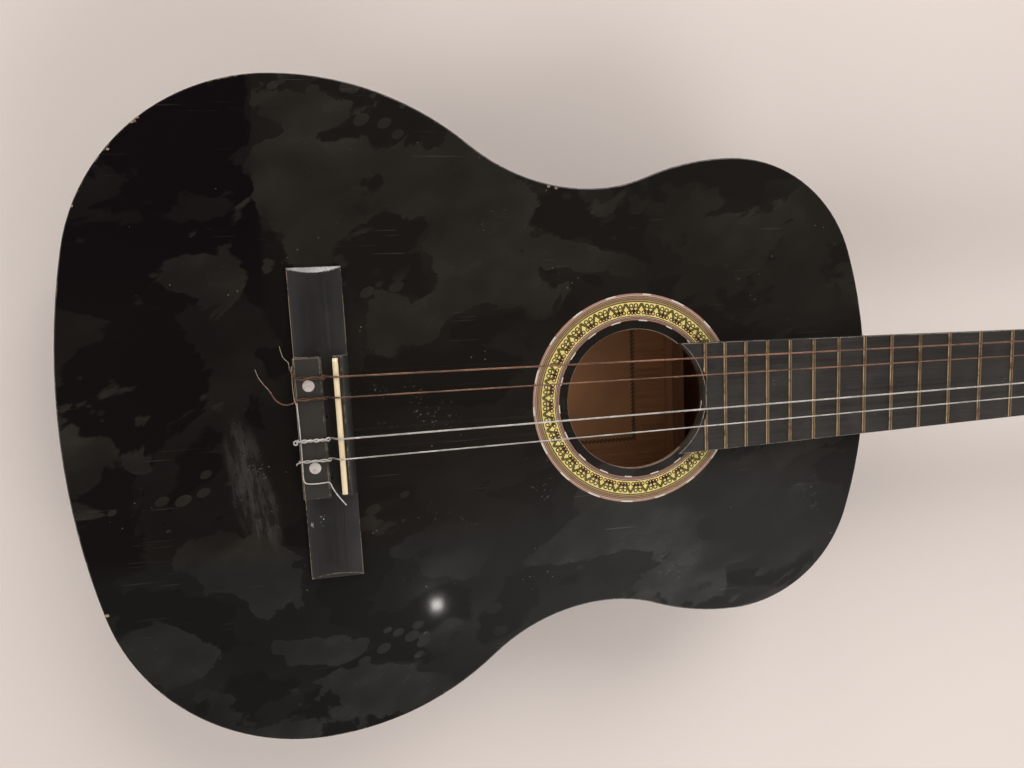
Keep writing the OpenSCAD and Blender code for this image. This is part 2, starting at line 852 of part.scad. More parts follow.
// Free tails behind the tie block, in the bridge's own frame
tail_6 = [[-15.4, 30.2, 10], [-15.9, 35, 9.6], [-17.2, 40.2, 8.4], [-19.4, 42, 7], [-21, 46.6, 6]];
tail_5 = [[-16.4, 15.1, 9.4], [-20.6, 14.6, 8], [-24.8, 16.8, 6.4], [-28, 22, 5], [-31.4, 26.4, 3.8],
    [-33.8, 30, 2.8], [-35.4, 34.6, 2]];
tail_3 = [[-16.4, -6.6, 9.4], [-17.4, -5, 8.6]];
tail_2 = [[-16.4, -18.8, 9.4], [-17.2, -19.4, 8.6]];
stub = [[-13.6, 14.6, 10.1], [-13.4, 4, 10.0], [-13.4, -8, 10.0], [-13.6, -21, 10.0], [-13.4, -27, 10.1],
    [-11.4, -30, 10.1], [-7, -30.6, 10.1], [-1, -30.6, 10.1], [1.2, -31.4, 10.4], [3, -34.6, 11],
    [4.6, -37.6, 10.4], [6.4, -40.4, 9.2], [8.4, -44, 8]];

function at_bridge(points) = [for (p = points) [x_bridge, -bridge_off, top_z] + p];

module string_6() {
    color("#9a6a4a") tube(concat(run_of(6), loop_of(6, 0), at_bridge(tail_6)), string_r(6));
}

module string_5() {
    color("#9a6a4a") tube(concat(run_of(5), loop_of(5, 0), at_bridge(tail_5)), string_r(5));
}

module string_3() {
    color("#c8beb4") tube(concat(run_of(3), loop_of(3, 1), at_bridge(tail_3)), string_r(3));
}

module string_2() {
    color("#c8beb4") tube(concat(run_of(2), loop_of(2, 1), at_bridge(tail_2)), string_r(2));
}

module string_1_stub() {
    color("#cfcac2") tube(at_bridge(stub), string_r(1));
}

// ---- Tuners, drawn in the head's frame

plate_y = head_w / 2;
worm_wave = 0.55;
worm_y = plate_y + plate_t + worm_r + worm_wave + 0.45;
tooth_wave = 0.5;
gear_r = gear_teeth * worm_pitch / (2 * PI);
gear_t = 3;
mesh_distance = gear_r + worm_r + mesh_gap;
worm_turns = 4;
worm_len = worm_turns * worm_pitch;
ear_t = 1.5;
ear_gap = 0.3;
ear_half = 3.2;
shaft_r = 1.55;
button_top = -12;
button_up = 8;
button_flat = 8.6;
barrel_r = 24;
shaft_below = 14;
roller_neck_r = 2.6;
seat_r = 2.2;
string_hole_r = 0.8;

module tuner_place(k) {
    head_place() translate([roller_x(tuner_row(k)), 0, roller_z]) children();
}

// Middle of the worm that turns the roller of string k
module worm_place(k) {
    tuner_place(k) translate([-mesh_distance, tuner_side(k) * worm_y, 0]) children();
}

module ear_at(z) {
    translate([-ear_half, 0, z]) cube([2 * ear_half, worm_y - plate_y + ear_half, ear_t]);
}

module tuner_plate(side) {
    plate_start = first_roller - 18;
    plate_end = first_roller + 2 * roller_pitch + 15;
    low_ear = -worm_len / 2 - ear_gap - ear_t;
    high_ear = worm_len / 2 + ear_gap;
    head_place() mirror([0, side > 0 ? 0 : 1, 0]) translate([0, plate_y, roller_z]) difference() {
        union() {
            translate([plate_start + plate_h / 2, 0, -plate_h / 2])
                cube([plate_end - plate_start - plate_h, plate_t, plate_h]);
            for (x = [plate_start + plate_h / 2, plate_end - plate_h / 2]) translate([x, 0, 0])
                rotate([-90, 0, 0]) cylinder(d = plate_h, h = plate_t);
            for (i = [0 : 2]) translate([roller_x(i) - mesh_distance, 0, 0]) {
                ear_at(low_ear);
                ear_at(high_ear);
            }
        }
        for (i = [0 : 2]) {
            translate([roller_x(i), -1, 0]) rotate([-90, 0, 0])
                cylinder(r = roller_neck_r + turn_gap, h = plate_t + 2);
            translate([roller_x(i) - mesh_distance, worm_y - plate_y, -plate_h])
                cylinder(r = shaft_r + turn_gap, h = 2 * plate_h, $fn = 32);
        }
        for (x = screw_xs) translate([x, -1, 0]) rotate([-90, 0, 0])
            cylinder(r = screw_r + 0.1, h = plate_t + 2, $fn = 24);
    }
}

module tuner_plate_bass() {
    color("#b39a62") tuner_plate(1);
}

module tuner_plate_treble() {
    color("#b39a62") tuner_plate(-1);
}

module plate_screws() {
    color("#a08a58") head_place() screw_places() {
        translate([0, 0, -screw_len]) cylinder(r = screw_r, h = screw_len + plate_t + tiny, $fn = 24);
        translate([0, 0, plate_t]) intersection() {
            translate([0, 0, -2.4]) sphere(r = 3.4, $fn = 32);
            cylinder(r = 2.6, h = 3, $fn = 32);
        }
    }
}

// A worm with a round, wavy thread: a disc off its own axis, twisted as it rises
module tuner_worm(k) {
    rise = worm_len / 2;
    color("#c2ab74") worm_place(k) {
        translate([0, 0, -rise])
            linear_extrude(worm_len, twist = -360 * worm_turns, slices = 10 * worm_turns, $fn = 12)
                translate([worm_wave, 0]) circle(r = worm_r, $fn = 12);
        translate([0, 0, rise]) cylinder(r = shaft_r, h = ear_gap + ear_t + 0.6, $fn = 32);
        translate([0, 0, button_top - shaft_below])
            cylinder(r = shaft_r, h = shaft_below - button_top - rise, $fn = 32);
    }
}

module tuner_button(k) {
    middle = button_top - button_up - button_len / 2;
    color("#e6dcc6") worm_place(k) difference() {
        intersection() {
            translate([0, 0, middle]) rotate_extrude($fn = 64) intersection() {
                translate([button_r - barrel_r, 0]) circle(r = barrel_r, $fn = 128);
                translate([0, -button_len / 2]) square([button_r + 1, button_len]);
            }
            translate([0, 0, middle]) cube([4 * button_r, button_flat, button_len + 2], center = true);
        }
        translate([0, 0, button_top - shaft_below]) cylinder(r = shaft_r, h = 2 * shaft_below, $fn = 32);
    }
}

module tuner_gear(k) {
    side = tuner_side(k);
    steps = gear_teeth * 8;
    color("#c9b27a") tuner_place(k) translate([0, side * worm_y, 0]) rotate([90, 0, 0]) difference() {
        linear_extrude(gear_t, center = true) polygon([for (i = [0 : steps - 1])
            let (a = 360 * i / steps) (gear_r - tooth_wave * cos(gear_teeth * (a - 180))) * dir(a)]);
        cylinder(r = seat_r, h = gear_t + 2, center = true, $fn = 32);
    }
}

module tuner_roller(k) {
    gear_low = worm_y - gear_t / 2;
    color("#ded6c4") tuner_place(k) rotate([-tuner_side(k) * 90, 0, 0]) difference() {
        union() {
            translate([0, 0, web_w / 2 - tip_depth + 0.3]) cylinder(r = tip_r, h = tip_depth);
            translate([0, 0, web_w / 2 + 0.2]) cylinder(r = roller_r, h = plate_y - web_w / 2 - 0.3);
            translate([0, 0, plate_y - 1]) cylinder(r = roller_neck_r, h = gear_low - plate_y + 1);
            translate([0, 0, gear_low - tiny]) cylinder(r = seat_r, h = gear_t + tiny, $fn = 32);
        }
        translate([0, 0, slot_y]) rotate([90, 0, 0])
            cylinder(r = string_hole_r, h = 4 * roller_r, center = true, $fn = 24);
    }
}

soundboard();
rosette();
back_panel();
rib_bass();
rib_treble();
top_lining();
back_lining();
neck_block();
tail_block();
harmonic_bars();
fan_braces();
bridge_patch();
back_braces();
label();
bridge();
saddle();
bridge_dots();
bridge_bolts();
neck_shaft();
neck_heel();
neck_head();
heel_cap();
head_veneer();
fretboard();
frets();
nut();
string_6();
string_5();
string_3();
string_2();
string_1_stub();
tuner_plate_bass();
tuner_plate_treble();
plate_screws();
for (k = [1 : 6]) {
    tuner_button(k);
    tuner_worm(k);
    tuner_gear(k);
    tuner_roller(k);
}
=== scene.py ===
# %% [markdown]
# # A worn classical guitar
# The guitar lies on its back. It has lost its fourth string, its first string is torn off at the bridge, and
# its black lacquer is hazed, scratched and chipped. The construction model comes in first, as a fixed frame.
# Everything made here is placed by it, so nothing has to be fitted by eye.

# %% Load the frame
import math
import random

import bmesh
import bpy
from mathutils import Matrix, Vector
from mathutils.bvhtree import BVHTree


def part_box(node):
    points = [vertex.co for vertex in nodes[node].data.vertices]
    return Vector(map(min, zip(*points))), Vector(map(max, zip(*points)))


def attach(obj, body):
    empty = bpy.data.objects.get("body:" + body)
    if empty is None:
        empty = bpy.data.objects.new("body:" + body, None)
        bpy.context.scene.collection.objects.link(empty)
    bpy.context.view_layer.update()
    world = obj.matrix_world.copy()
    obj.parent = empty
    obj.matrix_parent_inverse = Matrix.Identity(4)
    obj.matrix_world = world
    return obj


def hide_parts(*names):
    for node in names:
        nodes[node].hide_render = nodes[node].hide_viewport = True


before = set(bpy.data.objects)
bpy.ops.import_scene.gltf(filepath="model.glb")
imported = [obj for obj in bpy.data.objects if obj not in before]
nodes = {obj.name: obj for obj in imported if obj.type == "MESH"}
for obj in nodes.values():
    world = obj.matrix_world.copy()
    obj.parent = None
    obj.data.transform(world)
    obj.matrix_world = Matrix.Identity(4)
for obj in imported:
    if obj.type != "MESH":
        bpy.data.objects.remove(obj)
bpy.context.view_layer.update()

MM = 0.001
TOP = 96  # mm from the outer face of the back to the face of the soundboard

# %% [markdown]
# ## Camera
# The view looks down on the body from a little above the bridge, with the neck running out of view.
# A camera has a place and three axes: what is right, what is up and what is behind it. They are written as
# the columns of its matrix, which is plainer than three angles when the view is tilted a little every way.

# %% Camera
camera_data = bpy.data.cameras.new("camera")
camera_data.sensor_width = 36
camera_data.lens = 25.286
camera_data.clip_start = 0.01
camera = bpy.data.objects.new("camera", camera_data)
right = (0.98223725, -0.04598948, 0.18192020)
up = (0.06839756, 0.99054927, -0.11888612)
behind = (-0.17473341, 0.12921727, 0.97609996)
place = (-0.0669255, 0.0694400, 0.5091400)
camera.matrix_world = Matrix([(right[i], up[i], behind[i], place[i]) for i in range(3)] + [(0, 0, 0, 1)])
bpy.context.scene.collection.objects.link(camera)
bpy.context.scene.camera = camera
bpy.context.scene.view_settings.view_transform = "Standard"
print("camera", [round(v, 4) for v in camera.location])

# %% [markdown]
# ## Light
# Black lacquer shows its room more than its own colour. So the sky here is dim overhead, where a level
# surface mirrors it to the camera, and bright round the horizon, where only slanting surfaces pick it up.
# Three big soft lamps stand low enough that the gloss doesn't mirror them and the dull patches catch them.
# A tiny lamp under the soundboard, out of sight, lights the label, because a box is dark inside in any light.
# The camera itself sees none of this sky. Where a ray comes straight from it, one plain backdrop colour takes
# the sky's place, so that no view has a bright or a dark horizon behind the guitar.

# %% Sky
BACKDROP = (0.74, 0.66, 0.62)
world = bpy.data.worlds.new("sky")
bpy.context.scene.world = world
world.use_nodes = True
sky = world.node_tree
sky.nodes.clear()
sky_place = sky.nodes.new("ShaderNodeTexCoord")
sky_parts = sky.nodes.new("ShaderNodeSeparateXYZ")
sky_ramp = sky.nodes.new("ShaderNodeValToRGB")
sky_light = sky.nodes.new("ShaderNodeBackground")
sky_out = sky.nodes.new("ShaderNodeOutputWorld")
sky.links.new(sky_place.outputs["Generated"], sky_parts.inputs[0])
sky.links.new(sky_parts.outputs["Z"], sky_ramp.inputs[0])
sky_seen = sky.nodes.new("ShaderNodeLightPath")
sky_choice = sky.nodes.new("ShaderNodeMix")
sky_choice.data_type = "RGBA"
sky_choice.inputs[7].default_value = (*BACKDROP, 1)
sky.links.new(sky_seen.outputs["Is Camera Ray"], sky_choice.inputs[0])
sky.links.new(sky_ramp.outputs[0], sky_choice.inputs[6])
sky.links.new(sky_choice.outputs[2], sky_light.inputs["Color"])
sky.links.new(sky_light.outputs[0], sky_out.inputs[0])
stops = sky_ramp.color_ramp.elements
stops[0].position, stops[0].color = 0.0, (0.95, 0.90, 0.86, 1)
stops[1].position, stops[1].color = 1.0, (0.060, 0.050, 0.055, 1)
for height, colour in ((0.45, (0.85, 0.80, 0.77, 1)), (0.72, (0.13, 0.12, 0.115, 1))):
    stop = stops.new(height)
    stop.color = colour
sky_light.inputs["Strength"].default_value = 1.0

# %% [markdown]
# A window is wide, so its shadows are soft. An area lamp is the same: a square that shines from its whole
# face. Its spread says how far to the side it shines, and a narrower one keeps a lamp near the floor from
# glaring on it. Besides the three big lamps and the tiny one there are two small ones. A bulb gives the one
# sharp spot that the lacquer mirrors, and a low lamp lights the end of the bridge.


# %% Lamps and floor
def lamp(name, where, target, width, power, colour=(1.0, 0.96, 0.92), spread=180):
    data = bpy.data.lights.new(name, "AREA")
    data.shape = "SQUARE"
    data.size = width
    data.energy = power
    data.color = colour
    data.spread = math.radians(spread)
    thing = bpy.data.objects.new(name, data)
    thing.location = where
    thing.rotation_euler = (Vector(target) - Vector(where)).to_track_quat("-Z", "Y").to_euler()
    bpy.context.scene.collection.objects.link(thing)
    return thing


lamp("key_lamp", (1.12, 2.43, 1.92), (0.1, 0, 0.05), 2.05, 33, spread=140)
lamp("side_lamp", (1.37, -2.5, 1.87), (0.1, 0, 0.05), 2.0, 27.5, spread=140)
lamp("tail_lamp", (-2.2, -0.2, 1.5), (0, 0, 0.05), 1.4, 6, spread=140)
lamp("bulb", (0.030, -0.743, 1.5), (-0.04, -0.1, 0.1), 0.024, 0.042)
lamp("end_lamp", (-0.10, 1.7, 0.24), (-0.1, 0.1, 0.1), 0.4, 0.37, spread=40)
lamp("inside_lamp", (0.026, 0, 0.088), (0.150, 0, 0.01), 0.014, 0.078, (1.0, 0.90, 0.78))

bpy.ops.mesh.primitive_plane_add(size=60, location=(0, 0, -0.2 * MM))
floor = bpy.context.object
floor.name = "floor"

# %% [markdown]
# ## Tools for shaping
# Most of the guitar's wooden pieces have the right shape already and only miss what handling does to
# every edge: it rounds them. A copy of the construction piece is taken, its loose triangles are merged,
# and the edges that a hand would reach are selected by place and bevelled. The bevel's faces get a second
# material, so that an edge can be rubbed and chipped without touching the faces beside it.


# %% Selecting and finishing
def only(*things):
    """Leaves just these selected, in object mode."""
    if bpy.context.object and bpy.context.object.mode != "OBJECT":
        bpy.ops.object.mode_set(mode="OBJECT")
    bpy.ops.object.select_all(action="DESELECT")
    for thing in things:
        thing.select_set(True)
    bpy.context.view_layer.objects.active = things[-1]


def copy_of(node, name):
    """A separate, merged copy of a construction piece."""
    piece = bpy.data.objects.new(name, nodes[node].data.copy())
    piece.data.materials.clear()
    bpy.context.scene.collection.objects.link(piece)
    only(piece)
    bpy.ops.object.mode_set(mode="EDIT")
    bpy.ops.mesh.select_all(action="SELECT")
    bpy.ops.mesh.remove_doubles(threshold=0.00001)
    bpy.ops.mesh.dissolve_limited(angle_limit=math.radians(0.3))
    bpy.ops.object.mode_set(mode="OBJECT")
    return piece


def bevel_where(piece, test, width, steps=2, sharper=30, slot=1):
    """Bevels the edges whose middle passes the test and whose faces meet at more than an angle."""
    only(piece)
    bpy.ops.object.mode_set(mode="EDIT")
    bpy.ops.mesh.select_mode(type="EDGE")
    bpy.ops.mesh.select_all(action="DESELECT")
    mesh = bmesh.from_edit_mesh(piece.data)
    count = 0
    for edge in mesh.edges:
        if len(edge.link_faces) != 2 or edge.calc_face_angle() < math.radians(sharper):
            continue
        if test((edge.verts[0].co + edge.verts[1].co) / 2):
            edge.select = True
            count += 1
    bmesh.update_edit_mesh(piece.data)
    if count:
        bpy.ops.mesh.bevel(offset=width, segments=steps, material=slot, affect="EDGES")
    bpy.ops.object.mode_set(mode="OBJECT")
    return count


def hand_in(piece, body="root", stands_for=(), smooth=35):
    """Smooths a finished piece by angle, keeps its flat faces flat, hangs it on its body and hides the
    construction pieces it stands for.
    """
    only(piece)
    bpy.ops.object.shade_smooth_by_angle(angle=math.radians(smooth))
    level = piece.modifiers.new("flat_faces_stay_flat", "WEIGHTED_NORMAL")
    level.keep_sharp = True
    level.weight = 100
    bpy.ops.object.modifier_apply(modifier=level.name)
    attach(piece, body)
    if stands_for:
        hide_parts(*stands_for)
    print(piece.name, "faces", len(piece.data.polygons))
    return piece


def rounded(node, finishes, width, body="root", test=lambda p: True, steps=2, sharper=30):
    """The usual case: a copy with its edges bevelled, its faces in one finish and its bevels in another."""
    piece = copy_of(node, node + "_worn")
    for material in finishes:
        piece.data.materials.append(material)
    bevel_where(piece, test, width, steps, sharper, min(1, len(finishes) - 1))
    return hand_in(piece, body, (node,))


# %% [markdown]
# ## Tools for finishes
# A finish is a net of shader nodes. Written out one by one they hide what they do, so a small helper adds
# a node, sets its inputs and returns its output. Patterns read Object coordinates: a piece keeps its place
# in its mesh, so one metre on the guitar is one unit in every pattern, and nothing slides.


# %% Node helper
class Net:
    """Adds nodes to one tree. An input may be a number, a colour or another node's output."""

    def __init__(self, tree):
        self.tree = tree

    def put(self, socket, value):
        if isinstance(value, bpy.types.NodeSocket):
            self.tree.links.new(value, socket)
        elif value is not None:
            if hasattr(value, "__len__") and len(value) == 3 and socket.type == "RGBA":
                value = (*value, 1)
            socket.default_value = value

    def node(self, kind, inputs=(), **settings):
        made = self.tree.nodes.new(kind)
        for key, value in settings.items():
            setattr(made, key, value)
        for key, value in dict(inputs).items():
            self.put(made.inputs[key], value)
        return made

    def math(self, what, a, b=None, c=None, clamp=False):
        made = self.node("ShaderNodeMath", {0: a, 1: b, 2: c}, operation=what, use_clamp=clamp)
        return made.outputs[0]

    def vector(self, what, a, b=None, scale=None):
        made = self.node("ShaderNodeVectorMath", {0: a, 1: b, 3: scale}, operation=what)
        return made.outputs["Value" if what in ("LENGTH", "DOT_PRODUCT") else "Vector"]

    def place(self, middle=(0, 0, 0), turn=0.0, size=(1, 1, 1)):
        """Object coordinates seen from a middle point, turned about Z and divided by a size."""
        where = self.node("ShaderNodeTexCoord").outputs["Object"]
        return self.node("ShaderNodeMapping", {
            "Vector": where, "Location": middle, "Rotation": (0, 0, turn), "Scale": size,
        }, vector_type="TEXTURE").outputs[0]

    def noise(self, where, scale, detail=2.0, rough=0.5, bend=0.0):
        return self.node("ShaderNodeTexNoise", {
            "Vector": where, "Scale": scale, "Detail": detail, "Roughness": rough, "Distortion": bend,
        }).outputs["Fac"]

    def step(self, value, low, high, to_low=0.0, to_high=1.0):
        """Rises smoothly from to_low to to_high while the value goes from low to high."""
        return self.node("ShaderNodeMapRange", {
            "Value": value, "From Min": low, "From Max": high, "To Min": to_low, "To Max": to_high,
        }, interpolation_type="SMOOTHSTEP").outputs[0]

    def mix(self, share, a, b):
        made = self.node("ShaderNodeMix", data_type="RGBA")
        for socket, value in ((made.inputs[0], share), (made.inputs[6], a), (made.inputs[7], b)):
            self.put(socket, value)
        return made.outputs[2]

    def blend(self, share, a, b):
        made = self.node("ShaderNodeMix", data_type="FLOAT")
        for socket, value in ((made.inputs[0], share), (made.inputs[2], a), (made.inputs[3], b)):
            self.put(socket, value)
        return made.outputs[0]

    def ramp(self, value, stops, stepped=False):
        made = self.node("ShaderNodeValToRGB", {0: value})
        made.color_ramp.interpolation = "CONSTANT" if stepped else "LINEAR"
        points = made.color_ramp.elements
        while len(points) < len(stops):
            points.new(0.5)
        for point, (at, colour) in zip(points, stops):
            point.position = at
            point.color = (*colour, 1)
        return made.outputs[0]

    def bump(self, height, depth, strength=1.0):
        return self.node("ShaderNodeBump", {
            "Height": height, "Distance": depth, "Strength": strength,
        }).outputs[0]

    def use(self, group, inputs=()):
        made = self.node("ShaderNodeGroup", node_tree=group)
        for key, value in dict(inputs).items():
            self.put(made.inputs[key], value)
        return made.outputs


def finish(name):
    """An empty material with its shader: returns the material, its net and the shader's inputs."""
    material = bpy.data.materials.new(name)
    material.use_nodes = True
    material.node_tree.nodes.clear()
    net = Net(material.node_tree)
    shader = net.node("ShaderNodeBsdfPrincipled")
    out = net.node("ShaderNodeOutputMaterial")
    net.tree.links.new(shader.outputs[0], out.inputs[0])
    return material, net, shader.inputs


def effect(name, inputs, outputs):
    """An empty node group with named inputs and outputs: returns the group, its net and both ends."""
    group = bpy.data.node_groups.new(name, "ShaderNodeTree")
    kinds = {"vector": "NodeSocketVector", "value": "NodeSocketFloat", "colour": "NodeSocketColor"}
    for way, sockets in (("INPUT", inputs), ("OUTPUT", outputs)):
        for label, kind in sockets.items():
            group.interface.new_socket(label, in_out=way, socket_type=kinds[kind])
    net = Net(group)
    return group, net, net.node("NodeGroupInput").outputs, net.node("NodeGroupOutput").inputs


# %% [markdown]
# ## Shared wear
# Four kinds of wear come back all over the guitar. Haze is a map of dull patches with sharp coasts, where
# polish and moisture have dried. Dust is a scatter of pale specks. Scratches are short pale hairlines. And
# rubbed edges are broken up by a noise, because an edge is never worn evenly. Each is a group built once.

# %% Haze
haze_map, net, given, gives = effect("haze_map", {"Where": "vector", "Cover": "value"}, {"Mask": "value"})
swirl = net.noise(given["Where"], 9, 3, 0.55, 0.8)
coast = net.noise(given["Where"], 26, 5, 0.62, 0.5)
land = net.math("ADD", net.math("MULTIPLY", swirl, 0.62), net.math("MULTIPLY", coast, 0.38))
level = net.math("SUBTRACT", 1.0, given["Cover"])
patch = net.step(net.math("SUBTRACT", land, level), -0.006, 0.012)
cloud = net.step(net.noise(given["Where"], 60, 3, 0.6), 0.25, 0.75, 0.6, 1.0)
thick = net.step(net.noise(given["Where"], 13, 2, 0.5, 0.5), 0.36, 0.62, 0.45, 1.0)
cloud = net.math("MULTIPLY", cloud, thick)
spots = net.node("ShaderNodeTexVoronoi", {"Vector": given["Where"], "Scale": 95.0}).outputs["Distance"]
wet = net.step(net.noise(given["Where"], 14, 2), 0.52, 0.68, 0.0, 0.36)
drops = net.step(net.math("SUBTRACT", wet, spots), -0.02, 0.02)
drops = net.math("MULTIPLY", drops, net.step(given["Cover"], 0.36, 0.44))
net.put(gives["Mask"], net.math("MULTIPLY", net.math("MAXIMUM", patch, drops), cloud))

# %% [markdown]
# Dust lies as separate pale specks, thicker in some places. Set one by one they would take a day. A Voronoi
# texture cuts the surface into cells, each with one middle point, so wherever that point is near enough
# there is a speck. A slow noise shrinks the specks to nothing in most places.

# %% Dust
dust_specks, net, given, gives = effect(
    "dust_specks", {"Where": "vector", "Size": "value"}, {"Mask": "value"})
cells = net.node("ShaderNodeTexVoronoi", {"Vector": given["Where"], "Scale": 210.0})
few = net.step(net.noise(given["Where"], 34, 2), 0.55, 0.70)
near = net.math("LESS_THAN", cells.outputs["Distance"], net.math("MULTIPLY", given["Size"], few))
net.put(gives["Mask"], near)

# %% [markdown]
# Grit in a cloth leaves straight hairlines side by side. A noise that is squeezed hard across one direction
# gives such lines, and only its highest peaks are kept, which makes them thin. A second, rounder noise lets
# them come and go.

# %% Scratches
hair_scratches, net, given, gives = effect(
    "hair_scratches", {"Where": "vector", "Turn": "vector", "Amount": "value"}, {"Mask": "value"})
turned = net.node("ShaderNodeMapping", {"Vector": given["Where"], "Rotation": given["Turn"],
                                        "Scale": (14, 900, 1)}).outputs[0]
lines = net.noise(turned, 1.0, 1, 0.4)
broken = net.noise(given["Where"], 22, 2)
sharp = net.step(lines, 0.70, 0.76)
there = net.step(broken, 0.56, 0.64)
net.put(gives["Mask"], net.math("MULTIPLY", net.math("MULTIPLY", sharp, there), given["Amount"]))

# %% [markdown]
# A worn edge is bare in long runs with a ragged rim. A slow noise says where it is worn, and a fine noise
# gives the rag. The amount lowers the level above which the sum of the two counts as bare.

# %% Rubbed edges
rubbed_edge, net, given, gives = effect(
    "rubbed_edge", {"Where": "vector", "Amount": "value"}, {"Mask": "value"})
long_wear = net.noise(given["Where"], 30, 3, 0.6)
fine_wear = net.noise(given["Where"], 420, 3, 0.7)
both = net.math("ADD", net.math("MULTIPLY", long_wear, 0.6), net.math("MULTIPLY", fine_wear, 0.4))
level = net.math("SUBTRACT", 1.0, given["Amount"])
net.put(gives["Mask"], net.step(net.math("SUBTRACT", both, level), -0.03, 0.04))

# %% [markdown]
# Wood has bands of growth along its fibres and small dark pores. Both are noise that changes slowly along
# the fibres and fast across them: of the three numbers in Stretch, the smallest lies along the grain. The
# height is for a bump, in which the pores sink.

# %% Wood grain
wood_grain, net, given, gives = effect(
    "wood_grain", {"Where": "vector", "Stretch": "vector", "Dark": "colour", "Light": "colour"},
    {"Color": "colour", "Height": "value"})
long_way = net.vector("MULTIPLY", given["Where"], given["Stretch"])
rings = net.noise(long_way, 1.0, 5, 0.62, 0.3)
pores = net.step(net.noise(net.vector("SCALE", long_way, scale=3.1), 1.0, 2, 0.5), 0.60, 0.72)
tone = net.math("SUBTRACT", net.step(rings, 0.3, 0.72), net.math("MULTIPLY", pores, 0.35), clamp=True)
net.put(gives["Color"], net.mix(tone, given["Dark"], given["Light"]))
net.put(gives["Height"], net.math("SUBTRACT", net.math("MULTIPLY", rings, 0.4), pores))
print("effects", [g.name for g in bpy.data.node_groups])

# %% [markdown]
# ## Black lacquer
# The soundboard's lacquer is black and glossy where it is clean, and dull grey where it is hazed. The two
# differ more in roughness than in colour, so one mask drives both. A few places are worn in ways of
# their own, and those are picked out by an oval mask with a ragged rim, at their place on the soundboard.


# %% Oval mask
oval_mask, net, given, gives = effect(
    "oval_mask",
    {"Where": "vector", "Middle": "vector", "Radii": "vector", "Turn": "vector", "Soft": "value"},
    {"Mask": "value"})
fitted = net.node("ShaderNodeMapping", {"Vector": given["Where"], "Location": given["Middle"],
                                        "Rotation": given["Turn"], "Scale": given["Radii"]},
                  vector_type="TEXTURE").outputs[0]
out = net.vector("LENGTH", fitted)
net.put(gives["Mask"], net.node("ShaderNodeMapRange", {
    "Value": out, "From Min": net.math("SUBTRACT", 1.0, given["Soft"]),
    "From Max": net.math("ADD", 1.0, given["Soft"]), "To Min": 1.0, "To Max": 0.0,
}, interpolation_type="SMOOTHSTEP").outputs[0])


def oval(net, where, middle, radii, turn=0.0, soft=0.4):
    """1 inside an oval on the soundboard, given in millimetres and degrees, fading to 0 outside it."""
    return net.use(oval_mask, {
        "Where": where, "Middle": [v * MM for v in (*middle, TOP)], "Radii": [r * MM for r in radii] + [1],
        "Turn": (0, 0, math.radians(turn)), "Soft": soft})["Mask"]


def strongest(net, masks):
    total = masks[0]
    for mask in masks[1:]:
        total = net.math("MAXIMUM", total, mask)
    return total


def warped(net, where, scale, reach):
    """The same place, pushed about by a noise: straight borders become ragged ones."""
    push = net.node("ShaderNodeTexNoise", {"Vector": where, "Scale": scale, "Detail": 3.0}).outputs["Color"]
    push = net.vector("MULTIPLY", net.vector("SUBTRACT", push, (0.5, 0.5, 0.5)), (2, 2, 0))
    return net.vector("ADD", where, net.vector("SCALE", push, scale=reach * MM))


# %% [markdown]
# The haze isn't even. It gathers in puddles, and each has its place: middle, radii and turn. They don't
# draw the patches themselves. They raise or lower the level at which the haze map floods, so that the
# coast of every patch stays as ragged as the rest.

# %% Where the haze gathers
PUDDLES = [(-13, 126, 36, 16, -8), (-3, 77, 36, 22, -35), (-46, 58, 30, 13, 10), (130, 100, 30, 22, 0),
           (54, 87, 34, 8, -15), (-107, 140, 26, 11, 0), (-101, 170, 24, 10, 0), (-161, 86, 16, 11, 0),
           (-153, -79, 38, 18, -20), (-130, -114, 26, 18, -40), (-118, -134, 34, 9, 0),
           (-37, -83, 50, 19, 25), (48, -84, 54, 10, 12), (150, -84, 60, 30, 0), (-71, -167, 36, 15, -15),
           (-201, -127, 20, 14, -30)]
BARE = [(130, -86, 10, 8, 0), (71, -106, 46, 8, 8), (0, -125, 20, 14, 20), (-180, -108, 22, 9, -40),
        (30, 118, 30, 12, -20), (-60, 95, 26, 18, 0), (-45, -113, 16, 13, 0), (-30, 20, 60, 16, 0),
        (-200, 45, 40, 45, 0), (-125, 65, 14, 45, 0), (-22, 60, 34, 12, -10)]
SCRATCHED = [(-60, 11, 34, 13, -20), (24, -51, 12, 9, 30), (204, -76, 7, 8, 0), (-142, -36, 10, 40, 8),
             (95, -110, 20, 8, 0), (0, 110, 9, 6, 0), (-20, -60, 14, 6, 10)]


# %% [markdown]
# The soundboard's finish starts with its haze. A loop adds every puddle to the cover and takes every bare
# place from it, and the haze map then floods to that level. A fainter film, from another part of the same
# map, lies between the patches. The darkest corner, at the tail on the bass side, is kept almost clean.

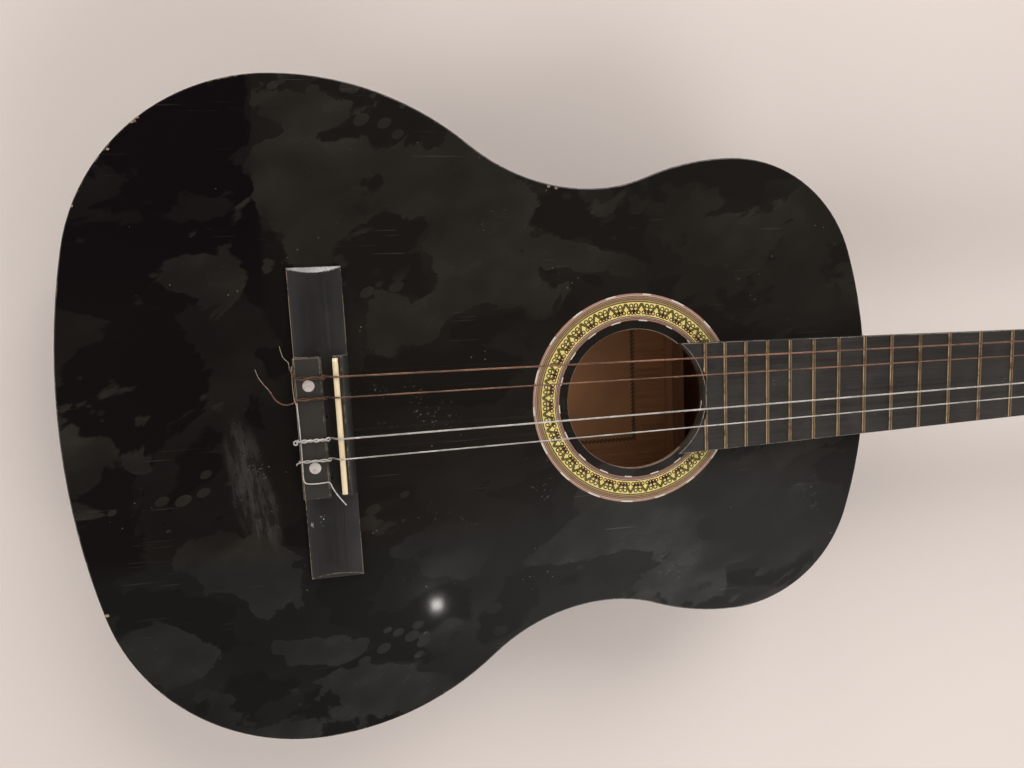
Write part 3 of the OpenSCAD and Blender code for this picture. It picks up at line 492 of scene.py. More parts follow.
# %% Soundboard finish
top_lacquer, net, shader = finish("top_lacquer")
where = net.place()
ragged = warped(net, where, 22, 9)
seen = net.node("ShaderNodeSeparateXYZ", {0: warped(net, where, 14, 4)}).outputs
dark_corner = net.math("MULTIPLY", net.step(seen["X"], -0.124, -0.130), net.step(seen["Y"], 0.055, 0.115))
cover = 0.468
for x, y, rx, ry, turn in PUDDLES:
    cover = net.math("MULTIPLY_ADD", oval(net, ragged, (x, y), (rx, ry), turn), 0.11, cover)
for x, y, rx, ry, turn in BARE:
    cover = net.math("MULTIPLY_ADD", oval(net, ragged, (x, y), (rx, ry), turn), -0.09, cover)
cover = net.math("MULTIPLY_ADD", dark_corner, -0.10, cover)
streaked = net.place((0, 0, 0), 0.45, (1.3, 0.8, 1))
haze = net.use(haze_map, {"Where": streaked, "Cover": cover})["Mask"]
film = net.use(haze_map, {"Where": net.place((0.3, 0.1, 0), 0.2, (1.5, 1, 1)),
                          "Cover": net.math("ADD", cover, 0.06)})["Mask"]
print("puddles", len(PUDDLES), "bare places", len(BARE))

# %% [markdown]
# The rest of the wear lies over the haze: a brushed scuff behind the bridge, hairlines in two directions,
# dust, and flakes where something scraped. Clean and hazed lacquer each have their own black, which turns a
# little warmer or greyer across the soundboard. In a broad oval over the lower bout both blacks are painted
# paler. This is a painted sheen: the light that the gloss mirrors there is put into its colour. The colours
# are mixed in the order in which they lie.

# %% Soundboard scuffs and colour
scuff = oval(net, ragged, (-143, -36), (10, 36), 8, 0.35)
brushed = net.noise(net.place((0, 0, 0), 0.1, (1 / 260, 1 / 45, 1)), 1.0, 5, 0.7)
scuff = net.math("MULTIPLY", scuff, net.step(brushed, 0.42, 0.58, 0.25, 1.0))
# Painted sheen: the oval over the lower bout in which the lacquer's blacks are painted paler, as if lit.
low_bout_painted_sheen = oval(net, where, (130, -112), (170, 75), 0, 0.6)
low_side = net.step(seen["Y"], -0.064, -0.082)
dull = strongest(net, [haze, scuff, net.math("MULTIPLY", film, 0.45)])
hair = net.use(hair_scratches, {"Where": where, "Turn": (0, 0, 0.25), "Amount": 0.3})["Mask"]
cross_hair = net.use(hair_scratches, {"Where": where, "Turn": (0, 0, 1.9), "Amount": 0.22})["Mask"]
specks = net.use(dust_specks, {"Where": where, "Size": 0.10})["Mask"]
rubbed = strongest(net, [oval(net, ragged, (x, y), (rx, ry), turn) for x, y, rx, ry, turn in SCRATCHED])
flakes = net.math("GREATER_THAN", net.noise(net.place((0, 0, 0), 0.4, (1.6, 1, 1)), 620, 3, 0.7), 0.635)
flakes = net.math("MULTIPLY", net.math("MULTIPLY", flakes, rubbed),
                  net.step(net.noise(where, 90, 2), 0.45, 0.6))
marks = strongest(net, [hair, cross_hair, specks, flakes])
broad = net.step(net.noise(where, 5, 2), 0.35, 0.65)
neck_side = net.step(seen["X"], -0.150, -0.085)
clean = net.mix(broad, (0.0046, 0.0034, 0.0032), (0.0060, 0.0050, 0.0044))
clean = net.mix(neck_side, clean, (0.0104, 0.0086, 0.0068))
clean = net.mix(dark_corner, clean, (0.0036, 0.0021, 0.0030))
clean = net.mix(net.math("MULTIPLY", low_side, 0.6), clean, (0.0104, 0.0106, 0.0098))
# Painted sheen: the clean black is painted paler inside the lower-bout oval.
clean = net.mix(low_bout_painted_sheen, clean, (0.0245, 0.0242, 0.0226))
hazed = net.mix(low_side, (0.0232, 0.0202, 0.0156), (0.0225, 0.0228, 0.0200))
# Painted sheen: the hazed black is painted paler inside the lower-bout oval.
hazed = net.mix(low_bout_painted_sheen, hazed, (0.0410, 0.0408, 0.0378))
colour = net.mix(dull, clean, hazed)
colour = net.mix(net.math("MULTIPLY", scuff, 0.6), colour, (0.042, 0.043, 0.038))
colour = net.mix(net.math("MULTIPLY", marks, 0.5), colour, (0.16, 0.155, 0.145))
net.put(shader["Base Color"], colour)
net.put(shader["Roughness"], net.blend(marks, net.blend(dull, 0.06, 0.30), 0.55))
wave = net.noise(where, 30, 2)
net.put(shader["Normal"], net.bump(net.math("ADD", wave, net.math("MULTIPLY", marks, 0.02)), 0.0002, 0.05))
print("soundboard nodes", len(top_lacquer.node_tree.nodes))

# %% [markdown]
# The other lacquered pieces share the haze, dust and hairlines but not the soundboard's own marks, so one
# function makes them all, each in its own dark colour. Given an edge colour too, it makes the finish of a
# bevel, where the lacquer is rubbed through.


# %% Plain black lacquer and its worn edge
def lacquer(name, colour, edge=None, amount=0.5):
    """Glossy dark lacquer with haze and dust, or, with an edge colour, the same rubbed through."""
    material, net, shader = finish(name)
    where = net.place()
    haze = net.use(haze_map, {"Where": where, "Cover": 0.50})["Mask"]
    specks = net.use(dust_specks, {"Where": where, "Size": 0.09})["Mask"]
    hair = net.use(hair_scratches, {"Where": where, "Turn": (0.3, 0.2, 0.4), "Amount": 0.5})["Mask"]
    marks = strongest(net, [specks, hair])
    dulled = net.mix(haze, colour, [v * 1.5 + 0.008 for v in colour])
    shade = net.mix(net.math("MULTIPLY", marks, 0.5), dulled, (0.15, 0.14, 0.13))
    rough = net.blend(haze, 0.12, 0.34)
    if edge:
        worn = net.use(rubbed_edge, {"Where": where, "Amount": amount})["Mask"]
        shade = net.mix(worn, shade, edge)
        rough = net.blend(worn, rough, 0.6)
    net.put(shader["Base Color"], shade)
    net.put(shader["Roughness"], rough)
    net.put(shader["Normal"], net.bump(net.noise(where, 120, 2), 0.0001, 0.15))
    return material


top_edge = lacquer("top_lacquer_edge", (0.006, 0.005, 0.005), (0.16, 0.13, 0.10), 0.42)
rib_lacquer = lacquer("rib_lacquer", (0.010, 0.0075, 0.0065))
rib_edge = lacquer("rib_lacquer_edge", (0.012, 0.009, 0.008), (0.12, 0.07, 0.04), 0.44)

# %% [markdown]
# ## Bare wood
# Inside the body the wood was never finished. Cut spruce shows where the lacquer has chipped away, at the
# body's edge and round the sound hole. Both are the same effect: a noise stretched along the fibres.


# %% Bare wood finishes
def bare_wood(name, dark, light, stretch, rough=0.7, depth=0.0002):
    material, net, shader = finish(name)
    where = net.place()
    grain = net.use(wood_grain, {
        "Where": where, "Stretch": stretch, "Dark": (*dark, 1), "Light": (*light, 1)})
    grime = net.step(net.noise(where, 18, 4, 0.6), 0.3, 0.75, 0.0, 0.45)
    net.put(shader["Base Color"], net.mix(grime, grain["Color"], [v * 0.55 for v in dark]))
    net.put(shader["Roughness"], net.step(net.noise(where, 300, 2), 0.2, 0.8, rough - 0.1, rough + 0.1))
    net.put(shader["Normal"], net.bump(grain["Height"], depth, 0.5))
    return material


raw_spruce = bare_wood("raw_spruce", (0.30, 0.20, 0.12), (0.62, 0.48, 0.34), (20, 500, 500))
hole_wall = bare_wood("hole_wall", (0.07, 0.045, 0.032), (0.26, 0.18, 0.13), (60, 60, 700))
inside_wood = bare_wood("inside_wood", (0.115, 0.050, 0.019), (0.180, 0.082, 0.034), (9, 330, 330), 0.6)
brace_wood = bare_wood("brace_wood", (0.070, 0.026, 0.010), (0.130, 0.052, 0.019), (330, 9, 330), 0.65)
block_wood = bare_wood("block_wood", (0.20, 0.11, 0.05), (0.34, 0.20, 0.10), (300, 300, 14))
lining_wood = bare_wood("lining_wood", (0.24, 0.14, 0.07), (0.40, 0.26, 0.14), (40, 40, 300))

# %% [markdown]
# ## Soundboard
# The soundboard is a thin plate of spruce under black lacquer. Its rim is rounded over by about a
# millimetre and knocked all round. The rim's edges and the hole's edges are selected by place, and
# bevelled. The groove of the rosette keeps its crisp edges, because the inlay fills it flush.

# %% Soundboard
hole_low, hole_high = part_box("rosette")
hole_x = (hole_low.x + hole_high.x) / 2
hole_r = 42.8 * MM
top_z = TOP * MM


def from_hole(p):
    return math.hypot(p.x - hole_x, p.y)


soundboard = copy_of("soundboard", "soundboard_worn")
for material in (top_lacquer, top_edge, hole_wall, raw_spruce):
    soundboard.data.materials.append(material)
rim = bevel_where(soundboard, lambda p: p.z > top_z - 0.1 * MM and from_hole(p) > 70 * MM, 0.9 * MM, 3)
ring = bevel_where(soundboard, lambda p: p.z > top_z - 0.1 * MM and from_hole(p) < 44 * MM, 0.35 * MM, 2,
                   slot=2)
print("soundboard edges bevelled", rim, ring)

# %% [markdown]
# A chip is a bite out of the rim with a rough face of raw wood. Small balls are dented with noise, placed
# where the rim was hit, and taken away from the soundboard with a Boolean modifier. The cut faces take
# the balls' material.

# %% Rim chips
random.seed(7)
chips = [(-184.9, 164.9, 1.3), (-182.9, 166.7, 0.9), (-218.6, 122.9, 0.7), (-198.3, 151.0, 0.8),
         (-161.0, 184.4, 0.8), (-145, 187.6, 0.9), (-132.4, 189.6, 0.8), (206.5, 117.8, 1.0),
         (33.6, 127.6, 0.8), (38.2, 126.6, 0.9), (-226.0, -98.5, 1.0), (-92.0, -187.6, 0.9)]


def bite_out(piece, place, size, material):
    """Takes a rough ball out of a piece. Its place and size are in millimetres."""
    bpy.ops.mesh.primitive_ico_sphere_add(subdivisions=2, radius=size * MM, location=[v * MM for v in place])
    ball = bpy.context.object
    for vertex in ball.data.vertices:
        vertex.co *= random.uniform(0.75, 1.2)
        vertex.co.x *= 1.5
    ball.data.materials.append(material)
    bite = piece.modifiers.new("bite", "BOOLEAN")
    bite.operation = "DIFFERENCE"
    bite.solver = "EXACT"
    bite.object = ball
    bite.material_mode = "TRANSFER"
    only(piece)
    bpy.ops.object.modifier_apply(modifier="bite")
    bpy.data.objects.remove(ball)
    print(piece.name, "bitten at", place, "faces", len(piece.data.polygons))


for x, y, size in chips:
    bite_out(soundboard, (x, y, 96.3), size, raw_spruce)


# %% [markdown]
# After the bevels and the bites the soundboard's faces are in no useful order, so they are finished by their
# place and their normal. The wall of the hole is raw wood. Where the fretboard lies over it, the wall is
# given the black lacquer as painted shade, for the fretboard's shade on it. The underside is bare spruce.

# %% Soundboard's hole and underside
board_end = hole_x + 28 * MM
for face in soundboard.data.polygons:
    middle = face.center
    if from_hole(middle) < hole_r + 0.2 * MM and abs(face.normal.z) < 0.5:
        face.material_index = 2
    # Painted shade: under the fretboard the hole's wall takes the black lacquer, for the shade that falls
    # there.
    if from_hole(middle) < hole_r + 1 * MM and middle.x > board_end and face.normal.z > -0.5:
        face.material_index = 0
    if face.normal.z < -0.9:
        face.material_index = 3
hand_in(soundboard, stands_for=("soundboard",))

# %% [markdown]
# ## Rosette
# The rosette is a ring of fine lines round a straw-yellow band with a scroll border. It is flat, so the
# pattern is a finish and not a shape. Its coordinates are the distance from the hole's middle and the
# angle round it, and one cell of the border, a pair of curled legs with a knot, repeats round the ring.


# %% Rosette drawing tools
stroke, net, given, gives = effect(
    "stroke", {"Point": "vector", "From": "vector", "To": "vector"}, {"Distance": "value"})
along = net.vector("SUBTRACT", given["To"], given["From"])
offset = net.vector("SUBTRACT", given["Point"], given["From"])
share = net.math("DIVIDE", net.vector("DOT_PRODUCT", offset, along), net.vector("DOT_PRODUCT", along, along),
                 clamp=True)
gap = net.vector("SUBTRACT", offset, net.vector("SCALE", along, scale=share))
net.put(gives["Distance"], net.vector("LENGTH", gap))

curl, net, given, gives = effect(
    "curl", {"Point": "vector", "Middle": "vector", "Radius": "value"}, {"Distance": "value"})
out = net.vector("LENGTH", net.vector("SUBTRACT", given["Point"], given["Middle"]))
net.put(gives["Distance"], net.math("ABSOLUTE", net.math("SUBTRACT", out, given["Radius"])))

# %% [markdown]
# One cell of the border is drawn in millimetres with straight strokes and circles. Its zero is on the
# cell's own axis, 51 mm from the middle of the hole. The distance across has no sign, which mirrors the
# drawing, so one leg becomes a pair. A stroke is inked wherever the distance to it is small.

# %% Rosette finish
rosette_inlay, net, shader = finish("rosette_inlay")
repeats = 36
BAND_FOOT, BAND_MIDDLE = 51, 55
RING_INNER, RING_OUTER, RING_WIDTH = 47.8, 64.2, 16.4
seen = net.node("ShaderNodeSeparateXYZ", {0: net.place((hole_x, 0, 0))}).outputs
flat = net.vector("MULTIPLY", net.place((hole_x, 0, 0)), (1, 1, 0))
radius = net.math("MULTIPLY", net.vector("LENGTH", flat), 1000)
turns = net.math("DIVIDE", net.math("ARCTAN2", seen["Y"], seen["X"]), 2 * math.pi)
cell = net.math("SUBTRACT", net.math("FRACT", net.math("MULTIPLY", turns, repeats)), 0.5)
across = net.math("MULTIPLY", net.math("ABSOLUTE", cell), 2 * math.pi * BAND_MIDDLE / repeats)
height = net.math("SUBTRACT", radius, BAND_FOOT)
point = net.node("ShaderNodeCombineXYZ", {0: across, 1: height, 2: 0.0}).outputs[0]


def line(net, a, b):
    return net.use(stroke, {"Point": point, "From": (*a, 0), "To": (*b, 0)})["Distance"]


def hook(net, middle, size):
    return net.use(curl, {"Point": point, "Middle": (*middle, 0), "Radius": size})["Distance"]


def nearest(net, distances):
    total = distances[0]
    for distance in distances[1:]:
        total = net.math("MINIMUM", total, distance)
    return total


def inked(net, distance, width):
    return net.math("LESS_THAN", distance, width)


leg = line(net, (0.2, 6.9), (2.9, 2.6))
filled = inked(net, leg, 0.5)
green = strongest(net, [
    inked(net, net.math("ABSOLUTE", net.math("SUBTRACT", leg, 0.50)), 0.22),
    inked(net, nearest(net, [hook(net, (3.35, 5.9), 1.05), line(net, (4.3, 5.5), (4.8, 3.4))]), 0.33),
])
brown = strongest(net, [
    inked(net, nearest(net, [hook(net, (1.55, 1.9), 0.95), line(net, (2.2, 2.4), (3.0, 3.0))]), 0.33),
    inked(net, hook(net, (3.75, 1.5), 0.75), 0.33),
    inked(net, nearest(net, [line(net, (3.9, 3.2), (4.8, 2.4)), line(net, (4.8, 1.2), (4.8, 3.9))]), 0.42),
])
print("rosette repeats", repeats)

# %% [markdown]
# The lines beside the border are plain rings, so they are a colour ramp with sharp steps, read by the
# distance from the middle. Over it lie the drawing, a faint hatching on one ring, broken pale dashes along
# both rims, and last a thin brown film of age.

# %% Rosette colours
YELLOW, ROSE, UMBER = (0.90, 0.73, 0.27), (0.44, 0.26, 0.20), (0.050, 0.022, 0.012)
BLACK, CREAM, TAN = (0.014, 0.014, 0.006), (0.66, 0.54, 0.42), (0.40, 0.29, 0.14)
rings_mm = [(RING_INNER, UMBER), (48.3, ROSE), (48.8, UMBER), (49.2, ROSE), (49.6, UMBER), (50.0, CREAM),
            (50.4, UMBER), (50.9, YELLOW), (59.0, BLACK), (59.5, TAN), (60.3, UMBER), (60.7, TAN),
            (61.3, UMBER), (61.7, ROSE), (62.3, UMBER), (62.7, CREAM), (63.1, ROSE)]
ring_share = net.node("ShaderNodeMapRange", {
    "Value": radius, "From Min": RING_INNER, "From Max": RING_OUTER}).outputs[0]
rings = net.ramp(ring_share, [((r - RING_INNER) / RING_WIDTH, c) for r, c in rings_mm], stepped=True)
band = net.math("MULTIPLY", net.math("GREATER_THAN", radius, 51.4), net.math("LESS_THAN", radius, 58.7))
inlay = net.mix(net.math("MULTIPLY", filled, band), rings, (0.16, 0.15, 0.03))
inlay = net.mix(net.math("MULTIPLY", green, band), inlay, (0.016, 0.024, 0.006))
inlay = net.mix(net.math("MULTIPLY", brown, band), inlay, (0.045, 0.012, 0.008))
hatch = net.math("SINE", net.math("ADD", net.math("MULTIPLY", turns, 2600), net.math("MULTIPLY", radius, 9)))
outer = net.math("MULTIPLY", net.math("GREATER_THAN", radius, 60.9), net.math("LESS_THAN", radius, 61.5))
inlay = net.mix(net.math("MULTIPLY", net.step(hatch, 0.2, 0.8, 0.0, 0.4), outer), inlay, UMBER)
dashes = net.math("ADD", net.math("FRACT", net.math("MULTIPLY", turns, 18)),
                  net.math("MULTIPLY", net.noise(net.place(), 160, 2), 0.5))
dashed = net.math("MULTIPLY", net.math("LESS_THAN", dashes, 0.55),
                  net.math("ADD", net.math("GREATER_THAN", radius, 63.4),
                           net.math("LESS_THAN", radius, 48.4)))
inlay = net.mix(dashed, inlay, (0.82, 0.78, 0.68))
worn = net.step(net.noise(net.place(), 240, 3, 0.6), 0.45, 0.8, 0.0, 0.25)
net.put(shader["Base Color"], net.mix(worn, inlay, (0.34, 0.22, 0.10)))
net.put(shader["Roughness"], net.step(net.noise(net.place(), 90, 3), 0.3, 0.7, 0.18, 0.38))
net.put(shader["Normal"], net.bump(strongest(net, [green, brown]), 0.00005, 0.3))

# %% [markdown]
# Some pieces have the right shape already and show no edge that is worn. Those need no copy. They keep the
# construction's mesh and only get a finish.


# %% Giving a construction piece its finish
def paint(material, *names):
    for name in names:
        mesh = nodes[name].data
        mesh.materials.clear()
        mesh.materials.append(material)
    print(material.name, "on", len(names))


paint(rosette_inlay, "rosette")

# %% [markdown]
# ## Body
# The back and the ribs close the body. Their outer faces are lacquered and their inner faces are bare
# wood. Whether a face of a rib looks inwards is asked with a ray: from an inner face, a straight line along
# its normal meets the other side of the body, and from an outer face it meets nothing.

# %% Ribs
for side in ("rib_bass", "rib_treble"):
    rib = copy_of(side, side + "_lacquered")
    for material in (rib_lacquer, rib_edge, inside_wood):
        rib.data.materials.append(material)
shells = [bpy.data.objects["rib_bass_lacquered"], bpy.data.objects["rib_treble_lacquered"]]
both = bmesh.new()
for rib in shells:
    both.from_mesh(rib.data)
walls = BVHTree.FromBMesh(both)
for rib, node in zip(shells, ("rib_bass", "rib_treble")):
    for face in rib.data.polygons:
        start = face.center + face.normal * 0.5 * MM
        if abs(face.normal.z) < 0.5 and walls.ray_cast(start, face.normal, 0.6)[0] is not None:
            face.material_index = 2
    inner = sum(1 for face in rib.data.polygons if face.material_index == 2)
    print(node, "inner faces", inner)
    hand_in(rib, stands_for=(node,), smooth=25)
both.free()

# %% [markdown]
# The back is a flat plate, lacquered outside and bare inside, with its lower edge rounded over. Here no ray
# is needed to find the inner face: it is the one that looks up.

# %% Back
back = copy_of("back_panel", "back_lacquered")
for material in (rib_lacquer, rib_edge, inside_wood):
    back.data.materials.append(material)
bevel_where(back, lambda p: p.z < 0.1 * MM, 0.9 * MM, 3)
for face in back.data.polygons:
    if face.normal.z > 0.9:
        face.material_index = 2
hand_in(back, stands_for=("back_panel",))

# %% [markdown]
# Braces, blocks and linings were never lacquered, and little of them is seen through the hole. So they keep
# the construction's shape, and share three bare woods.

# %% Inside of the body
paint(brace_wood, "back_braces")
paint(block_wood, "neck_block", "tail_block", "harmonic_bars", "fan_braces", "bridge_patch")
paint(lining_wood, "top_lining", "back_lining")

# %% [markdown]
# ## Label
# A paper label, browned like the wood it is glued to, lies under the sound hole. It carries no words here,
# only a beaded border round its edge, drawn in the finish.

# %% Label finish
label_paper, net, shader = finish("label_paper")
low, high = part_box("label")
middle = (low + high) / 2
parts = net.node("ShaderNodeSeparateXYZ", {0: net.place(middle)}).outputs
half_x, half_y = (high.x - low.x) / 2, (high.y - low.y) / 2
edge_x = net.math("SUBTRACT", half_x, net.math("ABSOLUTE", parts["X"]))
edge_y = net.math("SUBTRACT", half_y, net.math("ABSOLUTE", parts["Y"]))
edge = net.math("MINIMUM", edge_x, edge_y)
band = net.math("LESS_THAN", net.math("ABSOLUTE", net.math("SUBTRACT", edge, 2.0 * MM)), 1.6 * MM)
along = net.math("ADD", parts["X"], parts["Y"])
beads = net.math("GREATER_THAN",
                 net.math("SINE", net.math("MULTIPLY", along, 2 * math.pi / (3.0 * MM))), -0.2)
rule = net.math("LESS_THAN", net.math("ABSOLUTE", net.math("SUBTRACT", edge, 2.0 * MM)), 0.7 * MM)
ink = net.math("MAXIMUM", net.math("MULTIPLY", band, beads), rule)
stain = net.step(net.noise(net.place(), 25, 5, 0.65), 0.3, 0.75)
paper = net.mix(stain, (0.115, 0.052, 0.021), (0.165, 0.076, 0.031))
fibres = net.noise(net.place((0, 0, 0), 0, (1, 1 / 6, 1)), 700, 3, 0.6)
paper = net.mix(net.step(fibres, 0.4, 0.7, 0.0, 0.2), paper, (0.10, 0.045, 0.02))
net.put(shader["Base Color"], net.mix(net.math("MULTIPLY", ink, 0.9), paper, (0.022, 0.009, 0.005)))
net.put(shader["Roughness"], net.step(stain, 0.0, 1.0, 0.75, 0.9))
net.put(shader["Normal"], net.bump(fibres, 0.00005, 0.4))
paint(label_paper, "label")

# %% [markdown]
# ## Bridge
# The bridge is one bar of black stained hardwood: two low wings and a raised middle, which holds the
# saddle and the tie block. It is satin, with fine grain along its length, and rubbed pale on every edge.


# %% Bridge finishes
def dark_wood(name, dark, light, stretch, rough=0.45, edge=None, amount=0.5, paler_above=None, marks=()):
    """Stained hardwood with open grain and dust in its pores, or its rubbed edge. Above a given height it
    is paler, and each mark is an oval full of pale nicks."""
    material, net, shader = finish(name)
    where = net.place()
    grain = net.use(wood_grain, {
        "Where": where, "Stretch": stretch, "Dark": (*dark, 1), "Light": (*light, 1)})
    dust = net.step(net.noise(where, 35, 4, 0.65), 0.42, 0.72, 0.0, 0.5)
    hair = net.use(hair_scratches, {"Where": where, "Turn": (0, 0, 1.2), "Amount": 0.5})["Mask"]
    specks = net.use(dust_specks, {"Where": where, "Size": 0.11})["Mask"]
    shade = net.mix(dust, grain["Color"], [v * 1.25 + 0.008 for v in light])
    shade = net.mix(net.math("MULTIPLY", strongest(net, [hair, specks]), 0.5), shade, (0.20, 0.18, 0.15))
    for x, y, rx, ry, turn in marks:
        nick = net.math("GREATER_THAN", net.noise(where, 560, 2, 0.6), 0.60)
        nick = net.math("MULTIPLY", nick, oval(net, warped(net, where, 60, 2), (x, y), (rx, ry), turn))
        shade = net.mix(net.math("MULTIPLY", nick, 0.8), shade, (0.42, 0.42, 0.40))
    spread = net.blend(dust, rough, rough + 0.15)
    # Above the given height, on the raised tie block, the colour is mixed towards a paler one.
    if paler_above:
        height = net.node("ShaderNodeSeparateXYZ", {0: where}).outputs["Z"]
        raised = net.math("GREATER_THAN", height, paler_above)
        shade = net.mix(net.math("MULTIPLY", raised, 0.6), shade, (0.042, 0.037, 0.031))
    if edge:
        worn = net.use(rubbed_edge, {"Where": where, "Amount": amount})["Mask"]
        shade = net.mix(worn, shade, edge)
        spread = net.blend(worn, spread, 0.6)
    net.put(shader["Base Color"], shade)
    net.put(shader["Roughness"], spread)
    net.put(shader["Normal"], net.bump(grain["Height"], 0.0001, 0.35))
    return material


bridge_wood = dark_wood("bridge_wood", (0.0035, 0.0028, 0.0022), (0.0100, 0.0085, 0.0070), (420, 12, 420),
                        0.52, paler_above=top_z + 7 * MM,
                        marks=[(-106.6, -55, 1.6, 2.6, 0), (-112.4, -57.4, 0.8, 1.4, 0)])
bridge_edge = dark_wood("bridge_edge", (0.010, 0.0085, 0.0075), (0.020, 0.018, 0.016), (420, 12, 420),
                        edge=(0.17, 0.14, 0.10), amount=0.49)
bridge_back_edge = dark_wood("bridge_back_edge", (0.010, 0.0085, 0.0075), (0.020, 0.018, 0.016),
                             (420, 12, 420), edge=(0.34, 0.27, 0.18), amount=0.55)
# Painted reflection: the bass end's slanting face gets a pale grey that stands for the light it mirrors.
bridge_end_painted_reflection = dark_wood("bridge_end_painted_reflection", (0.050, 0.050, 0.050), (0.090, 0.090, 0.092), (420, 12, 420), 0.24)
chip_wood = bare_wood("chip_wood", (0.20, 0.13, 0.09), (0.42, 0.32, 0.24), (300, 20, 300))

# %% [markdown]
# Only the bridge's outer edges are rounded. The rims of its holes, its slot and the seats of its dots stay
# crisp, so they are left out by place. Two finishes are then given by place too. The slanting face at the
# bass end is smoother and painted pale grey, a painted reflection of the bright light that it faces. The
# back edge is rubbed the most.

# %% Bridge
bridge = copy_of("bridge", "bridge_worn")
for material in (bridge_wood, bridge_edge, bridge_end_painted_reflection, bridge_back_edge):
    bridge.data.materials.append(material)
low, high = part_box("bridge")
middle_y = (low.y + high.y) / 2


def outside_edge(p):
    """Edges on the bridge's upper side, but not those of the holes and the slot in it."""
    holes = abs(p.z - (top_z + 5 * MM)) < 1.2 * MM and abs(p.y - middle_y) < 36 * MM
    slot = abs(p.x + 92.5 * MM) < 1.8 * MM and abs(p.y - middle_y) < 38.8 * MM
    dots = abs(p.x + 107.6 * MM) < 3.6 * MM and abs(abs(p.y + 0.4 * MM) - 23 * MM) < 3.6 * MM
    return p.z > top_z + 1 * MM and not (holes or slot or dots)


print("bridge edges", bevel_where(bridge, outside_edge, 0.35 * MM, 2, 25))
for face in bridge.data.polygons:
    slants = face.normal.y > 0.4 and face.normal.z > 0.4 and face.area > 10 * MM * MM
    # Painted reflection: the slanting face at the bass end takes the pale grey finish.
    if slants and face.center.y > high.y - 8 * MM:
        face.material_index = 2
    if face.material_index == 1 and face.center.x < low.x + 1.5 * MM:
        face.material_index = 3
hand_in(bridge, stands_for=("bridge",))

# %% [markdown]
# ## Saddle, nut and pearl dots
# The saddle and the nut are cream plastic, polished by the strings and grimy where no string rubs.
# The two dots are plastic pearl: pale with soft clouds.


# %% Plastics
def plastic(name, colour, grime, rough, spots=90):
    material, net, shader = finish(name)
    where = net.place()
    dirt = net.step(net.noise(where, spots, 4, 0.65), 0.45, 0.75, 0.0, 0.7)
    hair = net.use(hair_scratches, {"Where": where, "Turn": (0.2, 0.4, 1.0), "Amount": 0.4})["Mask"]
    net.put(shader["Base Color"], net.mix(dirt, colour, grime))
    net.put(shader["Roughness"], net.blend(dirt, rough, rough + 0.2))
    bumps = net.math("ADD", net.noise(where, 260, 2), hair)
    net.put(shader["Normal"], net.bump(bumps, 0.00006, 0.3))
    return material


cream = plastic("saddle_plastic", (0.95, 0.79, 0.53), (0.66, 0.48, 0.27), 0.34)
ivory = plastic("button_plastic", (0.78, 0.70, 0.54), (0.50, 0.39, 0.24), 0.22, 60)
barrel = plastic("roller_plastic", (0.74, 0.68, 0.56), (0.40, 0.33, 0.22), 0.4, 70)
pearl, net, shader = finish("pearl_dot")
cloud = net.noise(net.place(), 260, 3, 0.55, 1.5)
net.put(shader["Base Color"], net.mix(net.step(cloud, 0.3, 0.7), (0.52, 0.47, 0.44), (0.68, 0.63, 0.60)))
net.put(shader["Roughness"], net.step(cloud, 0.3, 0.7, 0.25, 0.4))
paint(pearl, "bridge_dots")
rounded("saddle", [cream], 0.3 * MM, sharper=40)
rounded("nut", [cream], 0.25 * MM, sharper=50, test=lambda p: p.z < 100 * MM)


# %% [markdown]
# ## Metal
# Frets, tuner plates and gears are brass of different ages. Tarnish darkens it in clouds and is rougher
# than the clean metal, so one noise drives colour and roughness together.


# %% Metals
def metal(name, clean, tarnish, rough, spots, amount=0.5, scratch=0.5):
    material, net, shader = finish(name)
    where = net.place()
    old = net.step(net.noise(where, spots, 5, 0.65), 0.62 - amount * 0.3, 0.86 - amount * 0.3)
    hair = net.use(hair_scratches, {"Where": where, "Turn": (0.5, 0.1, 0.7), "Amount": scratch})["Mask"]
    net.put(shader["Base Color"], net.mix(old, clean, tarnish))
    net.put(shader["Metallic"], 1.0)
    net.put(shader["Roughness"], net.math("ADD", net.blend(old, rough, rough + 0.25),
                                          net.math("MULTIPLY", hair, 0.1)))
    bumps = net.math("ADD", net.math("MULTIPLY", net.noise(where, 500, 3), 0.5), hair)
    net.put(shader["Normal"], net.bump(bumps, 0.00004, 0.35))
    return material


fret_brass = metal("fret_brass", (0.38, 0.28, 0.17), (0.19, 0.125, 0.07), 0.38, 120, 0.6)
tuner_brass = metal("tuner_brass", (0.62, 0.49, 0.25), (0.30, 0.21, 0.10), 0.30, 80, 0.5)
screw_brass = metal("screw_brass", (0.62, 0.50, 0.28), (0.26, 0.18, 0.09), 0.3, 200)
bolt_steel = metal("bolt_steel", (0.50, 0.50, 0.49), (0.22, 0.17, 0.13), 0.35, 150)
paint(fret_brass, "frets")
paint(bolt_steel, "bridge_bolts")

# %% [markdown]
# ## Neck and fretboard
# The neck is lacquered like the ribs. The fretboard is dry stained wood: matte dark grey, with fine
# straight grain along it, paler along its worn long edges and chipped where it ends over the sound hole.

# %% Fretboard
fretboard_wood = dark_wood("fretboard_wood", (0.010, 0.0085, 0.0072), (0.026, 0.0225, 0.019),
                           (14, 620, 620), 0.5)
fretboard_edge = dark_wood("fretboard_edge", (0.018, 0.016, 0.014), (0.036, 0.032, 0.028),
                           (14, 620, 620), 0.5, (0.26, 0.22, 0.18), 0.515)
board_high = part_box("fretboard")[1].z


def board_edge(p):
    """Upper edges of the fretboard: the two long ones, and the curved one over the sound hole."""
    return p.z > board_high - 0.1 * MM and (abs(p.y + 1 * MM) > 24 * MM or from_hole(p) < 45 * MM)


